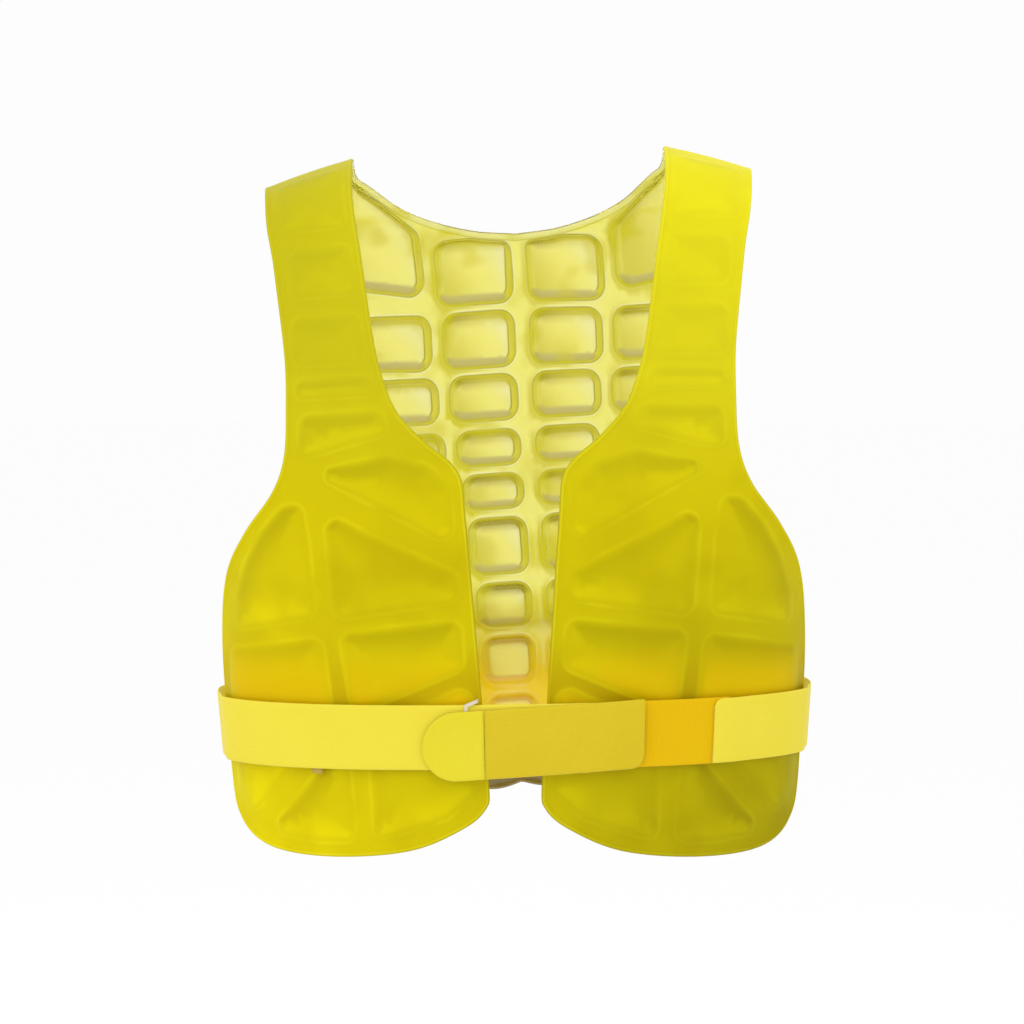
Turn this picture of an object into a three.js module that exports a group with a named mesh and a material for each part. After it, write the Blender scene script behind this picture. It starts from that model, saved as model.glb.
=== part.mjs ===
// A welded-film cooling vest: two front panels and a back panel of coolant cells,
// laid over the form of the shoulders and trunk, and held by a belt. Millimetres, +Z up;
// the front faces -Y, and the origin lies midway between the tops of the shoulders.
import * as THREE from "three";

// Form of the shoulders and trunk that the film follows
const CHEST_HALF_WIDTH = 221;
const CHEST_FRONT_DEPTH = 112;
const CHEST_BACK_DEPTH = 102;
const FRONT_TUCK = 12; // how far the front draws in towards the hem
const LUMBAR_HOLLOW = 20; // how far the small of the back draws in
const HEM_TAPER = 10; // how far each side draws in towards the hem
const TRUNK_LENGTH = 505;
const SECTION_POWER = 2.4; // 2 is an ellipse, higher is squarer
const SHOULDER_ARCH = 105; // height of the bend over the shoulder
const SHOULDER_ARC = 161; // length of film from the top of the shoulder to the end of that bend
const SHOULDER_FALL = 33; // fall from neck to arm
const SHOULDER_SPREAD = 180; // distance from the middle where that fall is measured
const FALL_REACH = 300; // length over which the fall dies out

// How the vest hangs: a little askew, as the one in the picture does
const SHOULDER_ROLL = 0.04; // rise per unit of width, wearer's left side up
const BACK_ROLL = 0.075;
const SHOULDER_DRIFT = -6; // sideways, dies out at the hem
const BACK_SWING_TOP = 7.3;
const BACK_SWING_HEM = 19.5;
const SWING_DELAY = 1.3; // higher keeps the spine straight for longer

// Panels
const FRONT_LENGTH = 555; // along the film, top of the shoulder to hem
const BACK_LENGTH = 531;
const SIDE_EDGE = 240; // round the body, from the middle to the side edge
const NECK_HALF_WIDTH = 115;
const STRAP_WIDTH = 70;
const FILM = 2.4; // both skins of a weld
const FRONT_RELIEF = 3.6; // how far a cell stands out
const BACK_RELIEF = 6.4;
const CELL_FILL = 1.4; // what a full cell is thicker than a weld
const CELL_SLOPE = 6; // width of a cell's sloping wall
const CELL_CORNER = 9;
const SPINE_WEB = 12;
const CELL_WEB = 9;
const EDGE_WEB = 10;
const SHOULDER_GAP = 0.4; // between front and back panel at the top of the shoulder

// Belt
const BELT_DROP = 407.8; // from the tops of the shoulders to the middle of the belt
const BELT_TILT = 0.015; // rise per unit of width towards the wearer's left
const BELT_BACK_LIFT = 39;
const BELT_THICKNESS = 1.6;
const BELT_CLEARANCE = 1.3; // between the cells' tops and the belt
const LAP_CLEARANCE = 0.35;
const BAND_WIDTH = 47;
const ELASTIC_WIDTH = 48;
const STRAP_BAND_WIDTH = 50;
const STRAP_TILT = 0.067; // rise per unit of length towards the wearer's left
const STRAP_SAG = 3.1; // how far the strap's middle lies below the belt's
const TAB_TIP = -67; // places along the belt from the middle of the front
const TAB_SEAM = -22;
const STRAP_END = 93.3;
const BAND_END = 62;
const ELASTIC_START = 76;
const BAND_START = 145;
const ELASTIC_LAP = 12;
const LAP_RAMP = 22; // length over which a lapping band comes back down
const SEAM_GAP = 0.3;
const SEAT_RAMP = 17; // length over which the belt comes in from the cells to a bare side
const SEAT_LEAD = 6; // how far outside the panels' side edges that starts

// Two scraps of tape that show at the belt
const HOOK_TAPE = { start: -58, end: -26, tall: 34, thick: 1, stub: 10.5, proud: 4.4, arm: 2.8 };
const ANCHOR_TAPE = { start: -151, end: -143, tall: 26, thick: 0.5, below: 4 };

// Shares of SIDE_EDGE across and of the panel's length down, round one front panel
// from the neck side of the shoulder to its arm side
const FRONT_OUTLINE = [
  // across, down
  [0.479, 0.0], [0.469, 0.135], [0.435, 0.238], [0.4, 0.339], [0.371, 0.386],
  [0.333, 0.422], [0.258, 0.456], [0.183, 0.482], [0.148, 0.506], [0.138, 0.55],
  [0.121, 0.645], [0.1, 0.778], [0.081, 0.901], [0.092, 0.933], [0.167, 0.96],
  [0.333, 0.989], [0.583, 1.0], [0.812, 0.993], [0.946, 0.963], [0.998, 0.915],
  [1.0, 0.793], [0.979, 0.703], [0.938, 0.631], [0.842, 0.573], [0.738, 0.521],
  [0.692, 0.472], [0.682, 0.405], [0.685, 0.333], [0.717, 0.22], [0.75, 0.135],
  [0.771, 0.0],
];

// Each cell's corners as [across, down] shares, from its corner nearest the neck
const FRONT_CELLS = {
  strapTop: [[0.492, 0.066], [0.727, 0.056], [0.71, 0.173], [0.469, 0.191]],
  strapUpper: [[0.46, 0.211], [0.675, 0.197], [0.665, 0.268], [0.44, 0.277]],
  strapMiddle: [[0.433, 0.295], [0.665, 0.286], [0.662, 0.356], [0.415, 0.359]],
  strapShort: [[0.408, 0.37], [0.654, 0.37], [0.654, 0.399], [0.394, 0.4]],
  strapFoot: [[0.377, 0.413], [0.644, 0.415], [0.646, 0.473], [0.575, 0.472], [0.354, 0.447]],
  chest: [[0.171, 0.514], [0.24, 0.483], [0.367, 0.468], [0.614, 0.492], [0.167, 0.595]],
  rib: [[0.154, 0.624], [0.57, 0.539], [0.545, 0.688], [0.156, 0.663]],
  side: [
    [0.627, 0.531], [0.7, 0.533], [0.785, 0.571], [0.85, 0.614],
    [0.892, 0.66], [0.893, 0.708], [0.588, 0.685], [0.604, 0.587],
  ],
  waistOuter: [[0.571, 0.705], [0.93, 0.728], [0.948, 0.823], [0.552, 0.814]],
  waistInner: [[0.15, 0.681], [0.53, 0.7], [0.498, 0.815], [0.142, 0.75]],
  hemOuter: [[0.583, 0.834], [0.948, 0.843], [0.948, 0.918], [0.867, 0.955]],
  hemMiddle: [[0.514, 0.836], [0.818, 0.974], [0.625, 0.983], [0.496, 0.981]],
  hemInner: [
    [0.125, 0.764], [0.457, 0.832], [0.45, 0.977], [0.367, 0.969], [0.208, 0.948], [0.113, 0.91],
  ],
};

// Half of the back panel, shares as above: neckline from the shoulder to the middle,
// then the arm side from the shoulder to the hem
const BACK_NECKLINE = [
  [0.479, 0.0], [0.479, 0.081], [0.446, 0.113], [0.375, 0.158],
  [0.304, 0.184], [0.217, 0.203], [0.117, 0.216], [0.0, 0.222],
];
const BACK_ARM_SIDE = [
  [0.771, 0.0], [0.74, 0.141], [0.69, 0.235], [0.645, 0.339], [0.63, 0.418],
  [0.64, 0.486], [0.672, 0.55], [0.73, 0.61], [0.803, 0.68], [0.855, 0.75],
  [0.882, 0.84], [0.882, 0.927], [0.86, 0.975], [0.8, 0.994],
];
const HEM_SCALLOP = 4.5; // how deep the scallops of the back hem are
const SCALLOPS = 4.5; // from the side of the hem to the middle of the one on the spine
const SCALLOP_STEPS = 4;
const SHOULDER_CELL = [
  [0.312, 0.209], [0.383, 0.173], [0.458, 0.13], [0.504, 0.072],
  [0.722, 0.062], [0.645, 0.262], [0.5, 0.277], [0.31, 0.298],
];

// A row of back cells: its top and bottom as shares of BACK_LENGTH, how far its inner
// cell reaches as a share of SIDE_EDGE, how many more cells lie beside it on each side,
// and how far its outer end rises, in shares of BACK_LENGTH
const BACK_ROWS = [
  // top, bottom, reach, beside, rise
  [0.224, 0.311, 0.271, 0, 0.0],
  [0.321, 0.395, 0.258, 1, 0.012],
  [0.405, 0.467, 0.244, 1, 0.006],
  [0.48, 0.53, 0.231, 1, 0.0],
  [0.542, 0.593, 0.221, 1, 0.0],
  [0.606, 0.688, 0.212, 2, 0.0],
  [0.701, 0.765, 0.202, 2, 0.0],
  [0.778, 0.849, 0.198, 2, 0.0],
  [0.863, 0.928, 0.196, 2, 0.0],
  [0.942, 0.981, 0.196, 2, 0.0],
];

// Fineness of the facets
const OUTLINE_STEP = 15;
const CELL_STEP = 38;
const LONGEST_EDGE = 50;
const BELT_STEP = 11;
const FLIP_PASSES = 40;
const SPLIT_PASSES = 2;

const COLOURS = {
  film: 0xd2c80a,
  backFilm: 0xe3dc4e,
  band: 0xf1e452,
  strap: 0xe0cc34,
  elastic: 0xeac40b,
  hook: 0xe9e2cf,
  anchor: 0xc3a84f,
};

const lerp = (a, b, share) => a + (b - a) * share;
const ease = (x) => THREE.MathUtils.smoothstep(x, 0, 1);

// Quarter of the trunk's section at chest level, as arc length against angle
const SECTION_STEPS = 400;
const SECTION_DEPTH = (CHEST_FRONT_DEPTH + CHEST_BACK_DEPTH) / 2;
const quarterSection = [{ x: 0, y: SECTION_DEPTH, length: 0 }];
for (let i = 1; i <= SECTION_STEPS; i++) {
  const angle = ((Math.PI / 2) * i) / SECTION_STEPS;
  const x = Math.sin(angle) ** (2 / SECTION_POWER) * CHEST_HALF_WIDTH;
  const y = Math.cos(angle) ** (2 / SECTION_POWER) * SECTION_DEPTH;
  const last = quarterSection[i - 1];
  quarterSection.push({ x, y, length: last.length + Math.hypot(x - last.x, y - last.y) });
}
const QUARTER_GIRTH = quarterSection[SECTION_STEPS].length;

// Place on the section at a distance round the body, as shares of half width and depth
function sectionAt(around) {
  const length = Math.min(Math.abs(around), QUARTER_GIRTH);
  let i = 1;
  while (i < SECTION_STEPS && quarterSection[i].length < length) i++;
  const [a, b] = [quarterSection[i - 1], quarterSection[i]];
  const share = (length - a.length) / (b.length - a.length);
  return {
    x: (Math.sign(around) * lerp(a.x, b.x, share)) / CHEST_HALF_WIDTH,
    y: lerp(a.y, b.y, share) / SECTION_DEPTH,
  };
}

// Shares of the trunk's length, measured down from the shoulders
const NECK_SHARE = 0.2;
const BLADE_SHARE = 0.5; // the shoulder blades' lower end
const TUCK_START = 0.45;
const TAPER_START = 0.6;
const WAIST_SHARE = 0.85;
const HOLLOW_REACH = 0.5; // how far the small of the back spreads above and below the waist

const past = (share, start) => ease((share - start) / (1 - start));
const halfWidth = (share) => CHEST_HALF_WIDTH - HEM_TAPER * past(share, TAPER_START);
const frontDepth = (share) => CHEST_FRONT_DEPTH - FRONT_TUCK * past(share, TUCK_START);
function backDepth(share) {
  const fromWaist = Math.min(Math.abs(share - WAIST_SHARE) / HOLLOW_REACH, 1);
  return CHEST_BACK_DEPTH - LUMBAR_HOLLOW * Math.cos((Math.PI / 2) * fromWaist) ** 2;
}
const frontRoll = (share) => SHOULDER_ROLL * (1 - ease(share));
const backRoll = (share) => lerp(SHOULDER_ROLL, BACK_ROLL, Math.min(share / BLADE_SHARE, 1));
const backSwing = (share) =>
  BACK_SWING_TOP * ease(share / NECK_SHARE) + BACK_SWING_HEM * ease(share) ** SWING_DELAY;

// Point of the form: a distance round the body from the middle and one down the film
function formPoint(around, down, isBack) {
  const bend = (Math.min(down / SHOULDER_ARC, 1) * Math.PI) / 2;
  const drop = SHOULDER_ARCH * (1 - Math.cos(bend)) + Math.max(down - SHOULDER_ARC, 0);
  const share = drop / TRUNK_LENGTH;
  const section = sectionAt(around + (isBack ? backSwing(share) : 0));
  const x = halfWidth(share) * section.x;
  const depth = isBack ? backDepth(share) : -frontDepth(share);
  const strapMiddle = NECK_HALF_WIDTH + STRAP_WIDTH / 2;
  const fall = SHOULDER_FALL * ((x ** 2 - strapMiddle ** 2) / SHOULDER_SPREAD ** 2);
  const roll = isBack ? backRoll(share) : frontRoll(share);
  return new THREE.Vector3(
    x + SHOULDER_DRIFT * (1 - share),
    depth * section.y * Math.sin(bend),
    -drop - fall * (1 - ease(down / FALL_REACH)) + roll * x,
  );
}

// Outward normal of a surface given by a function of two lengths
const PROBE = 0.5;
function normalOf(surface, a, b) {
  const alongA = surface(a + PROBE, b).sub(surface(a - PROBE, b));
  const alongB = surface(a, b + PROBE).sub(surface(a, b - PROBE));
  return alongA.cross(alongB).normalize();
}

// Across share of the pattern as a distance round the body: a share of SIDE_EDGE on the
// chest, and of the strap's own width between its neck and arm edges on the shoulder
const STRAP_ENDS = 0.2; // share of the panel's length where the strap starts to widen
const CHEST_STARTS = 0.5; // and where it is all chest
const STRAP_FROM = FRONT_OUTLINE[0][0];
const STRAP_TO = FRONT_OUTLINE.at(-1)[0];
function acrossAt(share, down) {
  const chest = share * SIDE_EDGE;
  const alongStrap = (share - STRAP_FROM) / (STRAP_TO - STRAP_FROM);
  const strap = NECK_HALF_WIDTH + alongStrap * STRAP_WIDTH;
  return lerp(strap, chest, ease((down - STRAP_ENDS) / (CHEST_STARTS - STRAP_ENDS)));
}
const placed = (rows, length) =>
  rows.map(([across, down]) => new THREE.Vector2(acrossAt(across, down), down * length));

// Smooth line through points, in steps of about one length
function smoothLine(points, step = OUTLINE_STEP) {
  const curve = new THREE.SplineCurve(points);
  return curve.getSpacedPoints(Math.round(curve.getLength() / step));
}

// Closed polygon with each corner moved in by a distance
const SHARPEST = 0.5; // least cosine of half the turn at a corner that is moved in full
function insetPolygon(corners, inset) {
  const sign = THREE.ShapeUtils.isClockWise(corners) ? -1 : 1;
  return corners.map((corner, i) => {
    const before = corners.at(i - 1);
    const after = corners[(i + 1) % corners.length];
    const inFrom = corner.clone().sub(before).normalize();
    const outTo = after.clone().sub(corner).normalize();
    const normalIn = new THREE.Vector2(-inFrom.y, inFrom.x).multiplyScalar(sign);
    const normalOut = new THREE.Vector2(-outTo.y, outTo.x).multiplyScalar(sign);
    const middle = normalIn.add(normalOut).normalize();
    const sharpness = Math.max(middle.dot(normalOut), SHARPEST);
    return corner.clone().addScaledVector(middle, inset / sharpness);
  });
}

// Ring of points round a cell: its corners cut to arcs, its long sides in steps. The
// steps come from the outer corners, so that rings of one cell have the same count
const MOST_CUT = 0.42; // share of a side that a corner's arc may take
const NEARLY_STRAIGHT = -0.75; // cosine of a corner so wide that one point rounds it
function cellRing(corners, inset, radius) {
  const moved = insetPolygon(corners, inset);
  const count = corners.length;
  const cutAt = (i) => {
    const corner = moved[i % count];
    const sides = [moved.at((i - 1) % count), moved[(i + 1) % count]];
    return Math.min(radius, ...sides.map((next) => MOST_CUT * corner.distanceTo(next)));
  };
  const towards = (from, to, distance) => from.clone().lerp(to, distance / from.distanceTo(to));
  const ring = [];
  for (let i = 0; i < count; i++) {
    const [corner, before, after] = [moved[i], moved.at(i - 1), moved[(i + 1) % count]];
    const start = towards(corner, before, cutAt(i));
    const end = towards(corner, after, cutAt(i));
    const [back, on] = [start, end].map((point) => point.clone().sub(corner).normalize());
    const middle = start.clone().add(end).divideScalar(4).addScaledVector(corner, 1 / 2);
    ring.push(...(back.dot(on) < NEARLY_STRAIGHT ? [middle] : [start, middle, end]));
    const side = corners[i].distanceTo(corners[(i + 1) % count]);
    const steps = Math.max(1, Math.round(side / CELL_STEP));
    const far = towards(after, corner, cutAt(i + 1));
    for (let k = 1; k < steps; k++) ring.push(end.clone().lerp(far, k / steps));
  }
  return ring;
}

const TINY = 1e-6;
const key = (a, b) => (a < b ? `${a},${b}` : `${b},${a}`);

// Turns the shared edge of two faces where that makes them less thin
function flipEdges(points, faces, fixed) {
  const corner = (tip, a, b) => {
    const [p, q] = [points[a].clone().sub(points[tip]), points[b].clone().sub(points[tip])];
    return Math.atan2(Math.abs(p.cross(q)), p.dot(q));
  };
  for (let pass = 0; pass < FLIP_PASSES; pass++) {
    const owners = new Map();
    faces.forEach((face, f) => face.forEach((a, i) => {
      const name = key(a, face[(i + 1) % 3]);
      owners.set(name, [...(owners.get(name) ?? []), f]);
    }));
    const touched = new Set();
    let flips = 0;
    for (const [name, [f, g]] of owners) {
      if (g === undefined || fixed.has(name) || touched.has(f) || touched.has(g)) continue;
      const ends = name.split(",").map(Number);
      const tipF = faces[f].find((v) => !ends.includes(v));
      const tipG = faces[g].find((v) => !ends.includes(v));
      if (corner(tipF, ...ends) + corner(tipG, ...ends) <= Math.PI + TINY) continue;
      const at = faces[f].indexOf(tipF);
      const [a, b] = [faces[f][(at + 1) % 3], faces[f][(at + 2) % 3]];
      const turned = [[tipF, a, tipG], [tipF, tipG, b]];
      if (turned.some((t) => areaOf(...t.map((v) => points[v])) <= TINY)) continue;
      [faces[f], faces[g]] = turned;
      touched.add(f).add(g);
      flips++;
    }
    if (!flips) break;
  }
  return faces;
}

// Flat triangles over a region, split where an inner edge is too long
function fillRegion(points, loops) {
  const flat = loops.map((loop) => loop.map((index) => points[index]));
  const order = loops.flat();
  const [outer, ...holes] = flat.map((loop) => loop.slice());
  let faces = THREE.ShapeUtils.triangulateShape(outer, holes)
    .map((face) => face.map((index) => order[index]));
  const total = faces.reduce((sum, [a, b, c]) => sum + areaOf(points[a], points[b], points[c]), 0);
  if (total < 0) faces = faces.map(([a, b, c]) => [a, c, b]);
  const fixed = new Set();
  for (const loop of loops) {
    loop.forEach((a, i) => fixed.add(key(a, loop[(i + 1) % loop.length])));
  }
  const middles = new Map();
  for (let pass = 0; pass < SPLIT_PASSES; pass++) {
    faces = flipEdges(points, faces, fixed);
    middles.clear();
    for (const face of faces) {
      face.forEach((a, i) => {
        const b = face[(i + 1) % 3];
        const name = key(a, b);
        if (fixed.has(name) || middles.has(name)) return;
        if (points[a].distanceTo(points[b]) < LONGEST_EDGE) return;
        middles.set(name, points.push(points[a].clone().lerp(points[b], 1 / 2)) - 1);
      });
    }
    if (!middles.size) return faces;
    faces = faces.flatMap((face) => splitFace(face, face.map((a, i) =>
      middles.get(key(a, face[(i + 1) % 3])))));
  }
  return flipEdges(points, faces, fixed);
}

// One face as two, three or four, for the edges that have a middle
function splitFace([a, b, c], [ab, bc, ca]) {
  const has = [ab, bc, ca].map((m) => m !== undefined);
  const total = has.filter(Boolean).length;
  if (total === 0) return [[a, b, c]];
  if (total === 3) return [[a, ab, ca], [ab, b, bc], [ca, bc, c], [ab, bc, ca]];
  if (total === 1) {
    if (has[0]) return [[a, ab, c], [ab, b, c]];
    return splitFace([b, c, a], [bc, ca, ab]);
  }
  if (!has[2]) return [[ab, b, bc], [a, ab, c], [ab, bc, c]];
  return splitFace([b, c, a], [bc, ca, ab]);
}

// Solid of a panel: outline and cells in the flat pattern, wrapped on the form
function panelSolid({ outline, cells, relief, place, sense }) {
  const points = [];
  const heights = [];
  const addLoop = (ring, height) => ring.map((point) => {
    heights[points.length] = height;
    return points.push(point) - 1;
  });
  const edge = addLoop(outline, 0);
  const rims = [];
  const faces = [];
  for (const corners of cells) {
    const rim = addLoop(cellRing(corners, 0, CELL_CORNER), 0);
    const floorRing = cellRing(corners, CELL_SLOPE, CELL_CORNER - CELL_SLOPE / 2);
    const floor = addLoop(floorRing, 1);
    rims.push(rim);
    const turned = THREE.ShapeUtils.isClockWise(rim.map((index) => points[index]));
    rim.forEach((a, i) => {
      const next = (i + 1) % rim.length;
      const [b, c, d] = [rim[next], floor[next], floor[i]];
      const quad = turned ? [[a, c, b], [a, d, c]] : [[a, b, c], [a, c, d]];
      faces.push(...quad);
    });
    const before = points.length;
    faces.push(...fillRegion(points, [floor]));
    for (let i = before; i < points.length; i++) heights[i] = 1;
  }
  const before = points.length;
  faces.push(...fillRegion(points, [edge, ...rims]));
  for (let i = before; i < points.length; i++) heights[i] = 0;
  return wrapSolid({ points, heights, faces, edge, relief, place, sense });
}

// Both skins of a flat pattern, wrapped on the form and closed along its edge. Its faces
// run anticlockwise in the pattern, and sense is -1 where wrapping turns them inwards
function wrapSolid({ points, heights, faces, edge, relief, place, sense }) {
  const outer = [];
  const inner = [];
  points.forEach(({ x, y }, i) => {
    const at = place(x, y);
    const normal = normalOf(place, x, y).multiplyScalar(sense);
    const lift = heights[i] * relief;
    outer.push(at.clone().addScaledVector(normal, FILM / 2 + lift));
    inner.push(at.clone().addScaledVector(normal, -FILM / 2 + lift - heights[i] * CELL_FILL));
  });
  const flip = sense < 0;
  const count = points.length;
  const triangles = [];
  for (const [p, q, r] of faces) {
    triangles.push(flip ? [p, r, q] : [p, q, r]);
    triangles.push(flip ? [p + count, q + count, r + count] : [p + count, r + count, q + count]);
  }
  const turned = THREE.ShapeUtils.isClockWise(edge.map((index) => points[index])) !== flip;
  edge.forEach((p, i) => {
    const q = edge[(i + 1) % edge.length];
    const wall = [[p, q + count, q], [p, p + count, q + count]];
    triangles.push(...(turned ? wall.map(([x, y, z]) => [x, z, y]) : wall));
  });
  return meshGeometry([...outer, ...inner], triangles);
}

const areaOf = (a, b, c) => (b.x - a.x) * (c.y - a.y) - (b.y - a.y) * (c.x - a.x);

function meshGeometry(points, triangles) {
  const geometry = new THREE.BufferGeometry().setFromPoints(points);
  geometry.setIndex(triangles.flat());
  geometry.computeVertexNormals();
  return geometry;
}

// One front panel: side is 1 on the wearer's left, -1 on the right
function frontPanel(side) {
  const outline = smoothLine(placed(FRONT_OUTLINE, FRONT_LENGTH));
  for (const end of [outline[0], outline.at(-1)]) end.y = SHOULDER_GAP / 2;
  const place = (across, down) => formPoint(side * across, down, false);
  const cells = Object.values(FRONT_CELLS).map((rows) => placed(rows, FRONT_LENGTH));
  const crest = crestPoints(outline.at(-1), outline[0]);
  return panelSolid({
    outline: [...outline, ...crest],
    cells,
    relief: FRONT_RELIEF,
    place,
    sense: -side,
  });
}

// Points between the two ends of a shoulder edge
function crestPoints(from, to) {
  const steps = Math.round(from.distanceTo(to) / OUTLINE_STEP);
  return Array.from({ length: steps - 1 }, (_, i) => from.clone().lerp(to, (i + 1) / steps));
}

// Corners of the back cells on one side
function backCells(side) {
  const armSide = placed(BACK_ARM_SIDE, BACK_LENGTH);
  const cells = [placed(SHOULDER_CELL, BACK_LENGTH)];
  for (const [top, bottom, reach, beside, rise] of BACK_ROWS) {
    const [y0, y1] = [top * BACK_LENGTH, bottom * BACK_LENGTH];
    const inner = reach * SIDE_EDGE;
    cells.push(rowCell(SPINE_WEB / 2, inner, y0, y1, () => 0));
    const outerEdge = Math.min(edgeAcross(armSide, y0), edgeAcross(armSide, y1)) - EDGE_WEB;
    const start = inner + CELL_WEB;
    const lift = (x) => (rise * BACK_LENGTH * (x - start)) / (outerEdge - start);
    for (let i = 0; i < beside; i++) {
      const pitch = (outerEdge - start + CELL_WEB) / beside;
      const from = start + i * pitch;
      cells.push(rowCell(from, from + pitch - CELL_WEB, y0, y1, lift));
    }
  }
  if (side > 0) return cells;
  return cells.map((corners) => corners.map(({ x, y }) => new THREE.Vector2(-x, y)).reverse());
}
const rowCell = (x0, x1, y0, y1, lift) => [
  new THREE.Vector2(x0, y0 - lift(x0)), new THREE.Vector2(x1, y0 - lift(x1)),
  new THREE.Vector2(x1, y1 - lift(x1)), new THREE.Vector2(x0, y1 - lift(x0)),
];

// How far an edge line lies from the middle at a distance down
function edgeAcross(line, down) {
  const i = Math.max(1, line.findIndex((point) => point.y >= down));
  const [a, b] = down > line.at(-1).y ? line.slice(-2) : [line[i - 1], line[i]];
  return lerp(a.x, b.x, (down - a.y) / (b.y - a.y));
}

function backPanel() {
  const neck = smoothLine(placed(BACK_NECKLINE, BACK_LENGTH));
  const arm = smoothLine(placed(BACK_ARM_SIDE, BACK_LENGTH));
  for (const end of [neck[0], arm[0]]) end.y = SHOULDER_GAP / 2;
  const hemStart = arm.at(-1);
  const hem = [];
  const hemSteps = SCALLOPS * SCALLOP_STEPS;
  for (let i = 1; i <= hemSteps; i++) {
    const dip = Math.abs(Math.sin((Math.PI * i) / SCALLOP_STEPS));
    const x = hemStart.x * (1 - i / hemSteps);
    hem.push(new THREE.Vector2(x, hemStart.y + HEM_SCALLOP * dip));
  }
  const crest = crestPoints(arm[0], neck[0]);
  const half = [...neck.slice(0, -1).reverse(), ...crest.reverse(), ...arm, ...hem.slice(0, -1)];
  const mirrored = half.map(({ x, y }) => new THREE.Vector2(-x, y)).reverse();
  const outline = [neck.at(-1), ...half, hem.at(-1), ...mirrored];
  return panelSolid({
    outline,
    cells: [...backCells(1), ...backCells(-1)],
    relief: BACK_RELIEF,
    place: (across, down) => formPoint(across, down, true),
    sense: 1,
  });
}

// Belt: a place round the body from the middle of the front towards the wearer's left,
// and a height, on the form that the panels follow
const GIRTH = 4 * QUARTER_GIRTH;
const BELT_SHARE = BELT_DROP / TRUNK_LENGTH;
function beltSurface(place, height) {
  const around = THREE.MathUtils.euclideanModulo(place + QUARTER_GIRTH, GIRTH) - QUARTER_GIRTH;
  const isBack = around > QUARTER_GIRTH;
  const section = sectionAt(isBack ? 2 * QUARTER_GIRTH - around : around);
  const roll = lerp(frontRoll(BELT_SHARE), backRoll(BELT_SHARE), backness(around));
  const drop = -height + roll * section.x * CHEST_HALF_WIDTH;
  const share = drop / TRUNK_LENGTH;
  const depth = isBack ? backDepth(share) : -frontDepth(share);
  return new THREE.Vector3(
    halfWidth(share) * section.x + SHOULDER_DRIFT * (1 - share),
    depth * section.y,
    height,
  );
}

// 0 on the front panels, 1 on the back panel, eased between their side edges
function backness(around) {
  const fromFront = Math.min(Math.abs(around), Math.abs(GIRTH - around));
  const half = QUARTER_GIRTH - SIDE_EDGE;
  return ease((fromFront - SIDE_EDGE) / (2 * half));
}

// Height of the middle of the belt, which tilts a little and rises round the back
const LIFT_START = 0.75; // share of the way from front to back where the belt starts to rise
function beltHeight(place) {
  const { x, y } = beltSurface(place, -BELT_DROP);
  const depths = [frontDepth(BELT_SHARE), backDepth(BELT_SHARE)];
  const toBack = (y + depths[0]) / (depths[0] + depths[1]);
  const lift = BELT_BACK_LIFT * ease((toBack - LIFT_START) / (1 - LIFT_START));
  return -BELT_DROP + BELT_TILT * x + lift;
}

// How far the belt's inner face lies outside the form: over the cells' tops, and
// close to the body at the sides, where there are no cells
function beltSeat(place) {
  const around = THREE.MathUtils.euclideanModulo(place + QUARTER_GIRTH, GIRTH) - QUARTER_GIRTH;
  const isBack = around > QUARTER_GIRTH && around < 3 * QUARTER_GIRTH;
  const fromMiddle = Math.abs(isBack ? 2 * QUARTER_GIRTH - around : around);
  const fromSide = QUARTER_GIRTH - fromMiddle;
  const bare = QUARTER_GIRTH - SIDE_EDGE - SEAT_LEAD;
  const relief = isBack ? BACK_RELIEF : FRONT_RELIEF;
  return FILM / 2 + relief * ease((fromSide - bare) / SEAT_RAMP) + BELT_CLEARANCE;
}
const LAP_STEP = BELT_THICKNESS + LAP_CLEARANCE;
const STRAP_LEVEL = LAP_STEP + HOOK_TAPE.thick + LAP_CLEARANCE;

// Strip of belt from one place to another: top and bottom give its edges at a place,
// level how far it is lifted off the seat
function strip({ from, to, top, bottom, level, thick = BELT_THICKNESS, step = BELT_STEP }) {
  const steps = Math.max(2, Math.round((to - from) / step));
  return stripAt({
    places: Array.from({ length: steps + 1 }, (_, i) => lerp(from, to, i / steps)),
    top, bottom, level, thick,
  });
}
const STRIP_ROWS = 3;
function stripAt({ places, top, bottom, level, thick }) {
  const rings = places.map((place) => {
    const rows = Array.from({ length: STRIP_ROWS }, (_, k) =>
      lerp(bottom(place), top(place), k / (STRIP_ROWS - 1)));
    const faceAt = (lift) => rows.map((height) =>
      beltSurface(place, height).addScaledVector(normalOf(beltSurface, place, height), lift));
    const seat = beltSeat(place) + level(place);
    return [...faceAt(seat), ...faceAt(seat + thick).reverse()];
  });
  const size = 2 * STRIP_ROWS;
  const triangles = [];
  for (let i = 0; i + 1 < rings.length; i++) {
    for (let k = 0; k < size; k++) {
      const [a, b] = [i * size + k, i * size + ((k + 1) % size)];
      triangles.push([a, b, b + size], [a, b + size, a + size]);
    }
  }
  const last = (rings.length - 1) * size;
  for (let k = 0; k + 1 < STRIP_ROWS; k++) {
    const [a, b, c, d] = [k, k + 1, size - 2 - k, size - 1 - k];
    triangles.push([a, c, b], [a, d, c]);
    triangles.push([last + a, last + b, last + c], [last + a, last + c, last + d]);
  }
  return meshGeometry(rings.flat(), triangles);
}

const aboveBelt = (offset) => (place) => beltHeight(place) + offset;
const STRAP_MIDDLE = (TAB_TIP + STRAP_END) / 2;
const alongStrap = (offset) => (place) =>
  -BELT_DROP - STRAP_SAG + STRAP_TILT * (place - STRAP_MIDDLE) + offset;

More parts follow.
